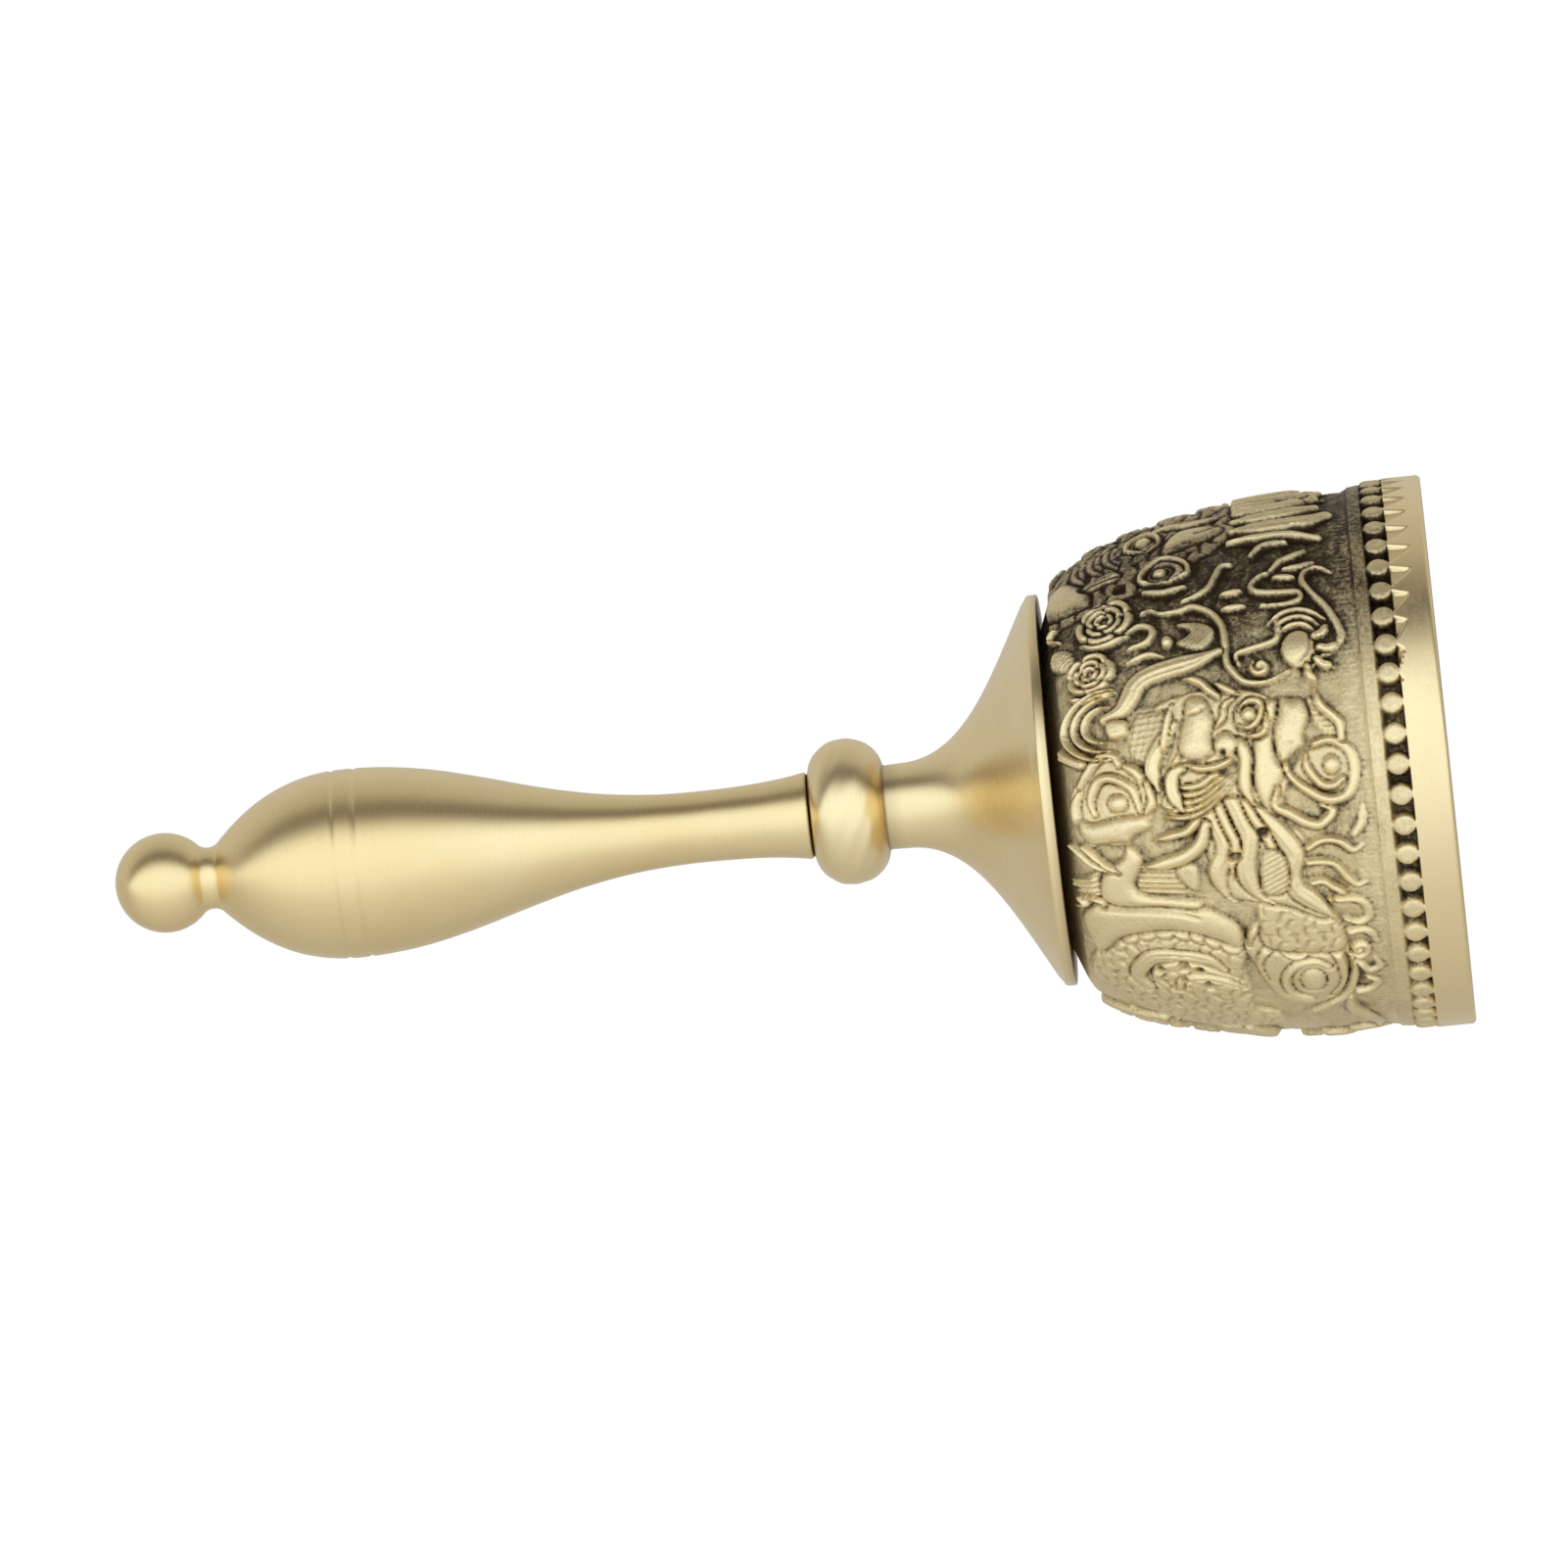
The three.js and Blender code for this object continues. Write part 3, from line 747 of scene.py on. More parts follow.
def flame_curls(relief):
    """Curls and flames along the foot of the wall on the left."""
    for points in (
        fitted((-25.3, 14), (-25, 12.8), (-26.5, 11.9), (-28.3, 11), (-30, 11.1), (-29.8, 12.2),
               (-28.8, 12.2)),
        fitted((-20.6, 14.4), (-20.6, 12.8), (-21.4, 11.6), (-23.2, 10.9), (-25, 10.5), (-27, 9.6),
               (-26.4, 8.7)),
        fitted((-29.8, 11.6), (-30.3, 10), (-32, 9), (-34.8, 8.8), (-36.2, 9.8), (-35, 11)),
        fitted((-40.4, 11.4), (-38.6, 10.9), (-38.2, 9.6), (-39.6, 8.7), (-42, 8.3)),
        fitted((-47, 11.4), (-48.4, 10.2), (-50.4, 9.4), (-49.6, 8.3), (-46.8, 8.6)),
        fitted((-17.6, 14), (-16, 12.4), (-16.8, 10.8), (-19, 9.7), (-18, 8.7)),
        fitted((-55.5, 11.6), (-57.6, 10.6), (-57, 9.2), (-54.6, 8.7), (-53, 9.6)),
        fitted((-15.6, 9.4), (-13, 8.5), (-9.6, 8.3)),
    ):
        relief.band(0.85, points, ends=(0.9, 0.5))
    relief.curl(moved(-43.6, 10.1), 1.25, 1.4, 60, 0.75)
    relief.band(1.4, fitted((-60, 11.4), (-66, 11.2), (-71, 10.2), (-77, 9.1), (-83, 9)), lines=3,
                ends=(0.5, 0.4))
    for centre in fitted((-33.7, 10.4), (-23.2, 12.4)):
        relief.pit(centre, (0.5, 0.4))


def front_clouds(relief):
    """Cloud head over the dragon's brow, with its trailing lines."""
    relief.shape(
        [(-7.7, 29.8), (-4.8, 29), (-1.9, 29.2), (0, 29.7), (2.2, 30.6), (4, 31.9), (7, 32.3), (8.4, 33.2),
         (8, 34.4), (6, 35.5), (3.7, 36.4), (1, 37.2), (-2.6, 38), (-6.5, 38.1), (-10.8, 37.7), (-15.8, 36.5),
         (-15.3, 35.1), (-15, 32.4), (-13, 31.7), (-11.4, 30.1)],
        top=0.6, edge=0.6,
    )
    for lobe in (
        [(-11.4, 37), (-8, 37.4), (-4.4, 37.3), (-1.2, 36.7)],
        [(0, 36.7), (3, 35.9), (5.6, 35), (7.2, 33.9), (6.4, 32.9), (4.4, 32.5)],
        [(4, 31.9), (2.8, 31.1), (1, 30.5), (-0.2, 30.5)],
        [(-0.4, 29.9), (-2.4, 29.6), (-5, 29.5), (-7.4, 30.2)],
    ):
        relief.band(1.2, lobe, ends=(0.6, 0.6), moat=0.16)
    relief.shape(
        [(-8.6, 36.9), (-9.4, 35.8), (-8.6, 34.2), (-7.9, 32.8), (-7.8, 31.4), (-8, 30.4), (-10.4, 29.9),
         (-11.8, 30.6), (-12.8, 31.6), (-14.4, 32.4), (-14.7, 34), (-15.2, 35.8), (-13.5, 37.1),
         (-10.8, 37.4)],
        top=0.95, edge=1.3, moat=0.2,
    )
    relief.band(1.15, [(-6.9, 30.8), (-4.6, 31), (-1.6, 31.4), (0.4, 32.4), (1.6, 33.6), (1, 34.7),
                       (-1.4, 35.4), (-4.4, 35.7), (-7.4, 35.4)], ends=(0.6, 0.5), moat=0.18)
    relief.ball((-4.8, 33), (1.0, 1.05), moat=0.2)
    for rise in (0, 1.25):
        relief.band(0.95, [(-22.2, 33.6 + rise), (-20.2, 35.2 + rise), (-17.6, 36.3 + rise),
                           (-16, 37 + rise)], ends=(0.3, 0.9))


def whiskers(relief):
    """The long whisker that wanders over the right side, its branches, and the figure in its bend."""
    relief.shape(fitted((27, 22.2), (29.6, 24.8), (31.6, 23.4), (34.4, 24.6), (33.4, 22), (30.6, 20.7)),
                 top=0.8, edge=0.6, texture=hatched(0.5, 0.8))
    relief.ball(moved(30.4, 25.6), (0.7, 0.6))
    for points in (
        fitted((39, 28), (39.3, 27), (37.6, 25.8), (37.2, 24), (37.6, 22.8), (35.6, 21.2), (33, 20.4),
               (30, 19.9), (24, 19.9), (21.7, 19.5), (19, 18.5), (18, 17.2), (18.1, 15.8), (19.8, 13.9)),
        fitted((19.3, 11.9), (22, 10.9), (23.6, 9.5), (26, 8.7), (29, 9), (33.3, 10), (37, 11.2), (40, 11.8),
               (42.4, 11.4), (43, 10.3), (41.4, 9.2)),
        fitted((22.5, 18.7), (24.8, 18.9), (25.5, 17.2), (26.6, 15), (29.4, 14.5), (31, 14.6), (33, 13.6)),
        fitted((34.8, 16), (34.3, 13.8), (35, 12.3), (36.8, 12.3), (37.3, 14.4), (38.2, 16.2), (40, 16.8),
               (42, 16), (42.7, 15)),
        fitted((41.2, 14.6), (40.6, 12.6)),
        fitted((43.2, 14.8), (45.2, 13.8), (46.4, 12.4), (47.9, 11.3)),
        fitted((43, 13.6), (43.2, 12), (44.4, 10.6)),
        fitted((35.5, 19.9), (35.4, 17.6)),
        fitted((39, 19.9), (39.2, 17.8)),
        fitted((39.5, 23.8), (40, 22.5), (41.4, 21.1), (44.5, 20.2), (46.8, 19.6), (46.8, 18.6)),
        fitted((31, 29.6), (31.6, 27.6), (34.4, 27), (36, 28.4), (35, 29.6)),
        fitted((27.6, 29.8), (28.4, 27.6), (27.2, 26.2)),
        fitted((45, 27.6), (43.2, 25.6), (43.4, 23.4)),
        fitted((48.6, 16.6), (50.6, 15.2), (50.8, 13)),
    ):
        relief.band(0.82, points, top=0.8, ends=(0.45, 0.5), moat=0.2)
    relief.curl(moved(21.4, 16.6), 1.0, 1.2, 40, 0.7, 0.85)


def flaming_pearl(relief):
    """Pearl with a curved cut, bows on its +X side and flames on its other side and foot."""
    across, up = 25.2, 13.5

    def around(radius, angle):
        return across + radius * math.cos(angle) / MM_PER_DEGREE, up + radius * math.sin(angle)

    relief.ball((across, up), (1.9, 1.8))
    relief.groove(0.2, [around(1.9, 2.8), around(1.0, 4.2), around(2.0, 5.6)], 0.4)
    for radius in (2.6, 3.4, 4.2):
        bow = [around(radius, angle) for angle in np.linspace(-0.75, 0.75, 7)]
        relief.band(0.7, bow, top=0.8, ends=(0.3, 0.3), moat=0.15)
    for angle in np.radians((200, 235, 270, 305)):
        flame(relief, around(2.1, angle), around(3.9, angle), sway=0.4, width=0.9)


def phoenix(relief):
    """Phoenix with a smooth wing, feathers with eyes and flame-like tail plumes."""
    relief.shape([(49, 29.8), (50, 38), (62, 39.4), (80, 39.2), (86, 37.4), (92, 38), (96, 36), (91, 34.4),
                  (98, 32.4), (92, 30.4), (97, 28), (89, 26), (94, 23.6), (86, 22), (88, 19.6), (78, 18.8),
                  (66, 18.8), (57, 21.6)], top=0.5, edge=0.8, texture=scales(2.2, 0.6))
    relief.shape(fitted((47, 33.4), (49, 36.6), (54, 38), (60, 37.6), (62, 35.6), (57, 34.2), (52, 33)),
                 top=0.95, edge=1.6, moat=0.4)
    relief.shape(fitted((51.6, 33.2), (55, 33.8), (55.4, 30.4), (52.2, 29.8)), top=0.75, edge=0.7,
                 texture=hatched(0.7, 0, 0.5))
    for height in (31.9, 33.6, 35.3):
        relief.band(0.8, [(62, height - 1), (66.6, height), (72.2, height + 0.2), (77.1, height - 0.6)],
                    lines=2, top=0.6, ends=(0.7, 0.2))
    relief.pit(moved(48.4, 30), (0.8, 0.7))
    relief.pit(moved(58, 33.2), (1.3, 0.45))
    relief.shape(fitted((45.5, 25), (47.5, 27.8), (51, 27.6), (53.6, 25.4), (50.6, 23), (47, 22.8)), top=0.7,
                 edge=0.9)
    relief.band(0.7, fitted((45.8, 25), (47.8, 27.6), (51, 27.4), (53.4, 25.4), (50.4, 23.2), (47.2, 23),
                            (45.9, 24.8)))
    relief.ball(moved(48.8, 25.7), (1.1, 1.4), top=0.8)
    relief.ball(moved(48.8, 25.7), (0.6, 0.8))
    relief.shape(fitted((58.2, 27), (61.6, 29.2), (65.4, 28.9), (67.4, 27), (64.6, 25.5), (60.4, 25.4)),
                 top=0.7, edge=0.8)
    relief.band(0.7, fitted((58.4, 27), (61.6, 28.9), (65.4, 28.6), (67, 27), (64.4, 25.8), (60.6, 25.7),
                            (58.6, 26.8)))
    relief.ball(moved(62.7, 27.2), (1.2, 0.9))
    relief.shape(fitted((55, 25.2), (59, 25.2), (62.8, 23.6), (62.4, 21), (59.8, 19), (57, 20.4),
                        (55.8, 22.6)), top=0.95, edge=1.4, moat=0.35)
    relief.groove(0.3, fitted((58.9, 22), (59.4, 20.6), (60.2, 19.6)), 0.7)
    relief.band(0.8, fitted((67.4, 26.6), (66.8, 24.6), (65, 22.8), (64.6, 20.6), (66.4, 19)))
    relief.band(1.9, fitted((57.4, 18.4), (56.8, 15.2), (57, 12.2), (59.2, 9.2)), lines=3, ends=(0.3, 0.9),
                flat=6)
    relief.band(1.5, fitted((61.4, 18.2), (61, 15.4), (61.6, 12.6), (63.4, 10.2)), lines=3, ends=(0.3, 0.8),
                flat=6)
    relief.band(1.0, fitted((53.6, 18.8), (53.4, 16), (53, 13), (51.6, 10)), ends=(0.4, 0.7))
    relief.pit(moved(54.9, 11.4), (0.5, 1.7))
    for step, (lean, low) in enumerate(((3, 9.6), (5.5, 12.2), (2, 9.2), (5, 11.6), (2.5, 9.9))):
        root = (72.6 + 3.8 * step, 18.5)
        flame(relief, root, (root[0] + lean, low), sway=1.5, width=1.5)
        relief.curl((root[0] + lean + 1.5, low + 1.4), 0.9, 1.1, 90, 0.7)
    for points, width in (
        (fitted((70, 37.4), (76, 36.4), (83, 36.6), (90, 35.8)), 2.0),
        (fitted((69, 33.6), (75, 32.4), (82, 32.8), (89, 31.2), (94, 31.8)), 2.4),
        (fitted((70, 29.4), (76, 28.4), (82, 29), (88, 27)), 2.4),
        (fitted((69, 25), (75, 24), (81, 24.8), (86, 23), (91, 23.6)), 2.4),
        (fitted((68, 21), (74, 20), (80, 20.8), (86, 18.8)), 2.2),
    ):
        feather(relief, points, width)


def roses(relief):
    """Two roses near the crown, each with a bow beside it, and leaves over them."""
    for centre, radius, turn in (moved(27.6, 33.6), 2.35, 0.3), (moved(40, 31.8), 2.75, 1.1):
        relief.band(1.0, [(centre[0] - 6.4, centre[1] - 2.4), (centre[0] - 7, centre[1] + 0.6),
                          (centre[0] - 4.4, centre[1] + 2.8)], ends=(0.2, 0.2))
        relief.rose(centre, radius, turn)
    relief.shape(fitted((31.8, 36.6), (35, 38), (39, 37.4), (36.6, 35.6), (33, 35.4)), top=0.8, edge=0.7,
                 texture=hatched(0.6, 0.7))
    relief.band(0.8, fitted((41, 36.6), (44, 37.8), (46.6, 36.4), (45.6, 34.6)))


def back_side(relief):
    """Out of the photograph: clouds, plumes, a second pair of roses and the dragon's tail."""
    for across, height, size, flip in ((122, 34, 1.35, 1), (158, 35.6, 1.25, -1), (-114, 33, 1.5, -1),
                                       (176, 13.6, 1.5, 1), (-156, 35, 1.35, 1), (118, 12.8, 1.3, -1)):
        cloud(relief, (across, height), size, flip)
    tail = [(-76, 24.5), (-84, 22), (-92, 24), (-99, 27.2), (-104, 24.6), (-103, 20), (-109, 16.6),
            (-118, 16.4), (-126, 20), (-132, 25.4), (-140, 28), (-148, 26.4)]
    relief.band(4.6, tail, top=0.8, lines=9, ends=(0.9, 0.3), flat=3)
    relief.band(1.3, [(a - 1, z - 1.9) for a, z in tail[:-1]], ends=(0.9, 0.2), moat=0.2)
    for step in range(7):
        across, height = tail[2 + step]
        flame(relief, (across, height + 1.9), (across - 3.4, height + 4.6), sway=0.5, width=1.2)
    for spread, reach in ((-24, 5.2), (0, 6.2), (24, 5.2)):
        lean = math.radians(180 + spread)
        tip = (-148 + reach * math.cos(lean) / MM_PER_DEGREE, 26.4 - reach * math.sin(lean))
        flame(relief, (-147, 26.4), tip, sway=0.9, width=2.0)
    for centre, radius, turn in ((126, 24), 3.0, 0.2), ((140, 28.4), 2.3, 1.4), ((138, 20.4), 2.0, 0.8):
        relief.rose(centre, radius, turn)
    for across, lean in ((119, -1), (131, 1), (145, 1), (147, -1)):
        relief.shape([(across, 18.6), (across + 2, 20.6), (across + 5 * lean, 21), (across + 6 * lean, 18.4),
                      (across + 3 * lean, 17.2)], top=0.75, edge=0.7, texture=hatched(0.6, lean))
    relief.band(0.85, [(116, 26), (111, 23), (106, 24.4), (101, 22), (98, 17.8)], ends=(0.6, 0.3))
    relief.band(0.85, [(130, 15), (124, 12.6), (118, 14), (114, 17.8)], ends=(0.5, 0.5))
    for across, height, turns in ((158, 27, 1.5), (168, 31.6, -1.5), (172, 24.6, 1.6), (-172, 28.6, -1.4),
                                  (-164, 22, 1.5), (162, 19.6, -1.5), (152, 14.6, 1.4), (-134, 13.4, -1.4),
                                  (-158, 13.6, 1.3), (-120, 10.8, 1.2), (-98, 12.8, -1.4), (-92, 31.8, 1.3)):
        relief.curl((across, height), 2.9, turns, across, 1.3)
        for side in (-1, 1):
            flame(relief, (across + 6 * side, height - 0.6), (across + 14 * side, height + 2.4 * side),
                  1.1 * side, 1.8)
        flame(relief, (across + 2, height + 2.6), (across + 7, height + 4.6), 0.7, 1.4)
    for across in range(116, 276, 6):
        flame(relief, (across, 8.2), (across + 3.4, 11.6 + 0.8 * (across % 4 == 0)), sway=0.5, width=1.5)


def ground_marks(relief):
    """Uneven ground: tooling marks low on the wall, and soft wandering waves all over it."""
    across = relief.angles[None, :] * MM_PER_DEGREE
    height = relief.heights[:, None]
    strokes = 0.5 + 0.25 * (np.sin(across * 9.1) + np.sin(across * 13.7 + 1.3))
    relief.level += 0.16 * strokes * ease((10.4 - height) / 1.6)
    drift = np.sin(0.7 * across + 0.9 * height) + np.sin(1.3 * height - 0.5 * across)
    relief.level += 0.04 * (2 + np.sin(across * 1.9 + 2 * drift) + np.sin(height * 2.2 + 1.7 * drift))


def blurred(values, sigma):
    """Gaussian blur by rows and columns; the columns wrap round."""
    reach = math.ceil(2.5 * sigma)
    offsets = np.arange(-reach, reach + 1)
    weights = np.exp(-0.5 * (offsets / sigma) ** 2)
    weights /= weights.sum()
    level = np.pad(values, ((reach, reach), (0, 0)), mode="edge")
    rows = sum(w * level[k:k + len(values)] for k, w in enumerate(weights))
    return sum(w * np.roll(rows, k, axis=1) for k, w in zip(offsets, weights))


def cast_pattern(angles, heights):
    """Height of the relief from 0 to 1 on the grid of the wall."""
    relief = Relief(angles, heights)
    for cast in (ground_marks, back_side, dragon_body, flame_curls, dragon_leg, dragon_paw, dragon_mane,
                 front_clouds, roses, phoenix, whiskers, flaming_pearl, dragon_head, dragon_beard):
        cast(relief)
    return np.clip(blurred(relief.level, 0.55), 0, 1)


# ------------------------------------------------------------------ the cup

# Heights and radii of the rim band, the pearls in their channel and the hollow inside
BAND_TOP = 3.9
PEARL_Z = 4.95
PEARL_RADIUS = 1.14
CHANNEL_TOP = 6.3
PEARLS = 56
PEARL_PHASE = -1.9
PEARL_PITCH = 360 / PEARLS
RIM_CHAMFER = 0.3
INNER_R = 25.3
CROWN_UNDERSIDE = CROWN_TOP - 3


def wall_outline(rows):
    """Points at the top of the relief from the row of pearls to the crown, evenly spaced."""
    lower = [(26.95, WALL_BOTTOM), (26.66, 8.1), (26.82, 8.9), (26.97, 9.7), (27.08, 10.9), (27.24, 12),
             (27.38, 13)]
    points = outline(lower, bezier((27.38, 13), (27.38, 19.73), (25.18, 36.62), (19.14, CROWN_TOP - 0.15),
                                   80))
    run = np.r_[0, np.cumsum(np.linalg.norm(np.diff(points, axis=0), axis=1))]
    even = np.linspace(0, run[-1], rows)
    return np.c_[np.interp(even, run, points[:, 0]), np.interp(even, run, points[:, 1])]


def from_nearest(angle_deg, phase):
    """Distance along the rim, in millimetres, from the nearest of a ring of evenly spaced marks."""
    offset = (angle_deg - phase + PEARL_PITCH / 2) % PEARL_PITCH - PEARL_PITCH / 2
    return offset * math.radians(1) * MOUTH_R


def pearl_row(angle_deg, height):
    """Radius and level of the row of low domes. They merge with the wall, with dark gaps between them."""
    away = np.hypot(from_nearest(angle_deg, PEARL_PHASE), height - PEARL_Z)
    dome = np.sqrt(np.clip(1 - (away / PEARL_RADIUS) ** 2, 0, 1))
    gap = ease((away - PEARL_RADIUS + 0.08) / 0.2) * ease((CHANNEL_TOP - height) / 0.7)
    ground = np.interp(height, (CHANNEL_TOP, WALL_BOTTOM, 8.1), (27.1, 26.95, 26.6))
    return ground + 0.38 * dome - 0.95 * gap, 0.82 + 0.13 * dome - 0.8 * gap


def tooth_depth(angle_deg, height):
    """Scoops like shark fins, filed from the gaps down the rim band on the +X side only."""
    wrapped = (angle_deg + 180) % 360 - 180
    reach = 2.4 * ease((wrapped - 8) / 40) * ease((165 - wrapped) / 30)
    below = np.clip((BAND_TOP - height) / np.maximum(reach, 1e-6), 0, 1)
    lean = 0.7 * below**1.5
    across = np.abs(from_nearest(angle_deg, PEARL_PHASE + PEARL_PITCH / 2) - lean)
    half_width = 1.3 * (1 - below) ** 0.8
    depth = 0.5 * (1 - 0.6 * below) * ease((half_width - across) / 0.35)
    return np.where((reach > 0.2) & (below < 1), depth, 0)


def bell_cup():
    """One closed grid: up the outside from the rim, over the crown, and down the hollow inside."""
    front = np.linspace(-90, 90, FRONT_COLUMNS, endpoint=False)
    back = np.linspace(90, 270, BACK_COLUMNS, endpoint=False)
    angles = np.r_[front, back]
    turn = np.radians(angles)

    wall = wall_outline(RELIEF_ROWS)
    slope = np.gradient(wall, axis=0)
    slope /= np.linalg.norm(slope, axis=1)[:, None]
    outward = np.c_[slope[:, 1], -slope[:, 0]]
    pattern = cast_pattern(angles, wall[:, 1])
    fade = ease((wall[:, 1] - WALL_BOTTOM) / 0.5) * ease((CROWN_TOP - 0.3 - wall[:, 1]) / 0.5)
    pattern *= fade[:, None]

    rings, levels = [], []

    def ring(radius, height, level=1.0):
        rings.append(circle_points(radius + 0 * turn, height + 0 * turn, turn))
        levels.append(level + 0 * turn)

    lathe_mark = 0.012
    band_rows = along((MOUTH_R, RIM_CHAMFER), (MOUTH_R, BAND_TOP - 0.12), 0.2)
    ring(INNER_R + 0.15, 0)
    ring((INNER_R + MOUTH_R) / 2, 0)
    ring(MOUTH_R - RIM_CHAMFER, 0)
    for radius, height in band_rows:
        cut = tooth_depth(angles, height)
        ring(radius - cut - lathe_mark * (1 + math.sin(height * 14)), height, 1 - 0.25 * ease(cut / 0.4))
    last_band_row = len(rings)
    for _, height in along((0, BAND_TOP), (0, WALL_BOTTOM - 0.05), 0.13):
        radius, level = pearl_row(angles, height)
        lip = 0.25 * ease((BAND_TOP + 0.25 - height) / 0.25)
        ring(np.minimum(radius + lip, MOUTH_R - 0.08), height, level)

    first_wall_row = len(rings)
    for (radius, height), (across, up), level in zip(wall, outward, pattern):
        deepening = (RELIEF_DEPTH - RELIEF_DEPTH_AT_FOOT) * ease((height - WALL_BOTTOM) / 4.5)
        depth = (RELIEF_DEPTH_AT_FOOT + deepening) * (1 - level)
        rings.append(circle_points(radius - depth * across, height - depth * up, turn))
        levels.append(level)
    last_wall_row = len(rings)
    for radius in (16, 8, HOLE_R):
        ring(radius, CROWN_TOP - 0.02, 0.6)
    ring(HOLE_R, CROWN_UNDERSIDE, 0.6)
    for radius in (WASHER_HIGH[0], 11, 14.5):
        ring(radius, CROWN_UNDERSIDE, 0.6)
    inside = bezier((16.5, CROWN_UNDERSIDE), (24.6, 34.6), (24.2, 16), (INNER_R, 0.15), 26)
    for radius, height in inside:
        ring(radius + 0.03 * np.sin(turn * 7 + height) * np.sin(3 * height), height, 0.62)

    vertices = np.vstack(rings)
    faces = grid_faces(len(rings), len(angles), True)
    cup = add_piece("bell_cup_cast", (vertices, faces), cast_brass(), "bell", "bell_cup", 60)

    level = np.array(levels)
    cavity = 0.55 * level + 0.12
    wall_rows = slice(first_wall_row, last_wall_row)
    sharpness = pattern - blurred(pattern, 2.6)
    hollow = pattern - blurred(pattern, 7)
    cavity[wall_rows] = 0.56 + 0.14 * pattern + 1.0 * sharpness + 0.16 * hollow
    set_attribute(cup, "level", level)
    set_attribute(cup, "cavity", np.clip(cavity, 0, 1))
    polish = np.zeros(level.shape)
    polish[:last_band_row] = 1
    set_attribute(cup, "polish", polish)
    return cup


# ------------------------------------------------------------------ cap, grip and fasteners


def grime_near(piece, seams, reach):
    """Grime that gathers in seams, fading over reach, from the height of each vertex."""
    heights = np.array([vertex.co.z for vertex in piece.data.vertices]) / MM
    grime = sum(0.85 * np.exp(-np.abs(heights - seam) / reach) for seam in seams)
    set_attribute(piece, "grime", np.clip(grime, 0, 0.85))


def flared_cap():
    """Flare, neck and bead turned in one, solid between the bolt's and the stud's blind holes."""
    neck_r = 4.27
    bead_z, bead_out, bead_half, core = 60.1, 3.42, 3.77, 3.93
    seam = math.degrees(math.acos((4.3 - core) / bead_out))
    rows = outline(
        (HOLE_R, BOLT_HIGH[2] + 0.8),
        (HOLE_R, CROWN_TOP),
        along((HOLE_R, CROWN_TOP), (CAP_HIGH[0] - 0.2, CROWN_TOP), 3),
        arc((CAP_HIGH[0] - 0.2, CROWN_TOP + 0.2), 0.2, -90, 0, 4),
        (CAP_HIGH[0], CROWN_TOP + 0.75),
        arc((CAP_HIGH[0] - 0.45, CROWN_TOP + 0.8), 0.45, 0, 75, 6),
        bezier((18.6, CROWN_TOP + 1.72), (11.2, 45), (neck_r, 48.2), (neck_r, 54.5), 40),
        (4.22, 56.1),
        arc((core, bead_z), (bead_out, bead_half), -seam, seam, 44),
        (4.12, CAP_TOP - 0.04),
        (3.9, CAP_TOP),
        (HOLE_R, CAP_TOP),
        (HOLE_R, STUD_LOW[2] - 0.8),
    )
    hammer = rng.uniform(0, 2 * np.pi, (9, 2))

    def hammered(radius, height, angles):
        """Soft facets on the bead."""
        fade = math.exp(-(((height - bead_z) / 3) ** 4))
        waves = sum(np.sin((4 + k) * angles + phase + (1.4 + 0.3 * k) * height)
                    for k, (phase, _) in enumerate(hammer))
        return 0.012 * fade * waves - 0.05 * fade

    solid = outline((0, rows[0][1]), rows, (0, rows[-1][1]))
    # Painted light: the cap takes the lighter copy of the brass colours.
    brass = turned_brass("cap_brass", CAP_LIT_LIGHT, CAP_LIT_TONE)
    cap = add_piece("flared_cap_turned", turned(solid, relief=hammered), brass, "bell", "flared_cap")
    grime_near(cap, (CROWN_TOP, CAP_TOP, 56.3), 0.18)


def handle_grip():
    """Waist, belly and finial ball turned in one, with the stud's blind hole up the foot."""
    waist_r, waist_z = 3.57, 75.2
    belly_r, belly_z = 9.47, 110.2
    shoulder_z = 123.5
    finial_r = 5.0
    finial_z = TIP - finial_r
    neck_r = 3.36
    seat = math.degrees(math.asin(neck_r / finial_r)) - 90
    seat_z = finial_z + finial_r * math.sin(math.radians(seat))
    groove_heights = (111.3, 109.1)

    def grooved(radius, height, angles):
        """Two fine tool grooves round the belly, and faint chatter from turning."""
        cut = sum(0.13 * math.exp(-(((height - centre) / 0.2) ** 2)) for centre in groove_heights)
        on_outside = radius > 3.4
        return (0.004 * np.sin(5 * angles + height) - 0.006 - cut) * on_outside + 0 * angles

    belly = bezier((waist_r, waist_z), (waist_r, 91.2), (belly_r, 97.1), (belly_r, belly_z), 240)
    rows = outline(
        (0, STUD_HIGH[2] + 0.8),
        (HOLE_R, STUD_HIGH[2] + 0.8),
        (HOLE_R, CAP_TOP),
        (3.95, CAP_TOP + 0.01),
        arc((4.04, CAP_TOP + 0.3), 0.3, -70, 0, 5),
        bezier((4.33, CAP_TOP + 0.45), (3.83, 67), (waist_r, 70.2), (waist_r, waist_z), 24),
        belly,
        bezier((belly_r, belly_z), (belly_r, 116.4), (6.6, 120.4), (neck_r, shoulder_z), 100),
        bezier((neck_r, shoulder_z), (2.98, 124), (2.98, 124.8), (neck_r, seat_z), 10),
        arc((0, finial_z), finial_r, seat, 90, 30),
    )
    grip = add_piece("handle_grip_turned", turned(rows, relief=grooved), turned_brass("grip_brass"), "bell",
                     "handle_grip")
    grime_near(grip, (CAP_TOP,), 0.12)


def threaded_rows(outer_r, low, high):
    """Outline of a shank with chamfered ends, finely stepped so that a thread can be cut in it."""
    body = along((outer_r, low + 0.5), (outer_r, high - 0.5), THREAD_PITCH / 7)
    return outline((0, low), (outer_r - 0.45, low), body, (outer_r - 0.45, high), (0, high))


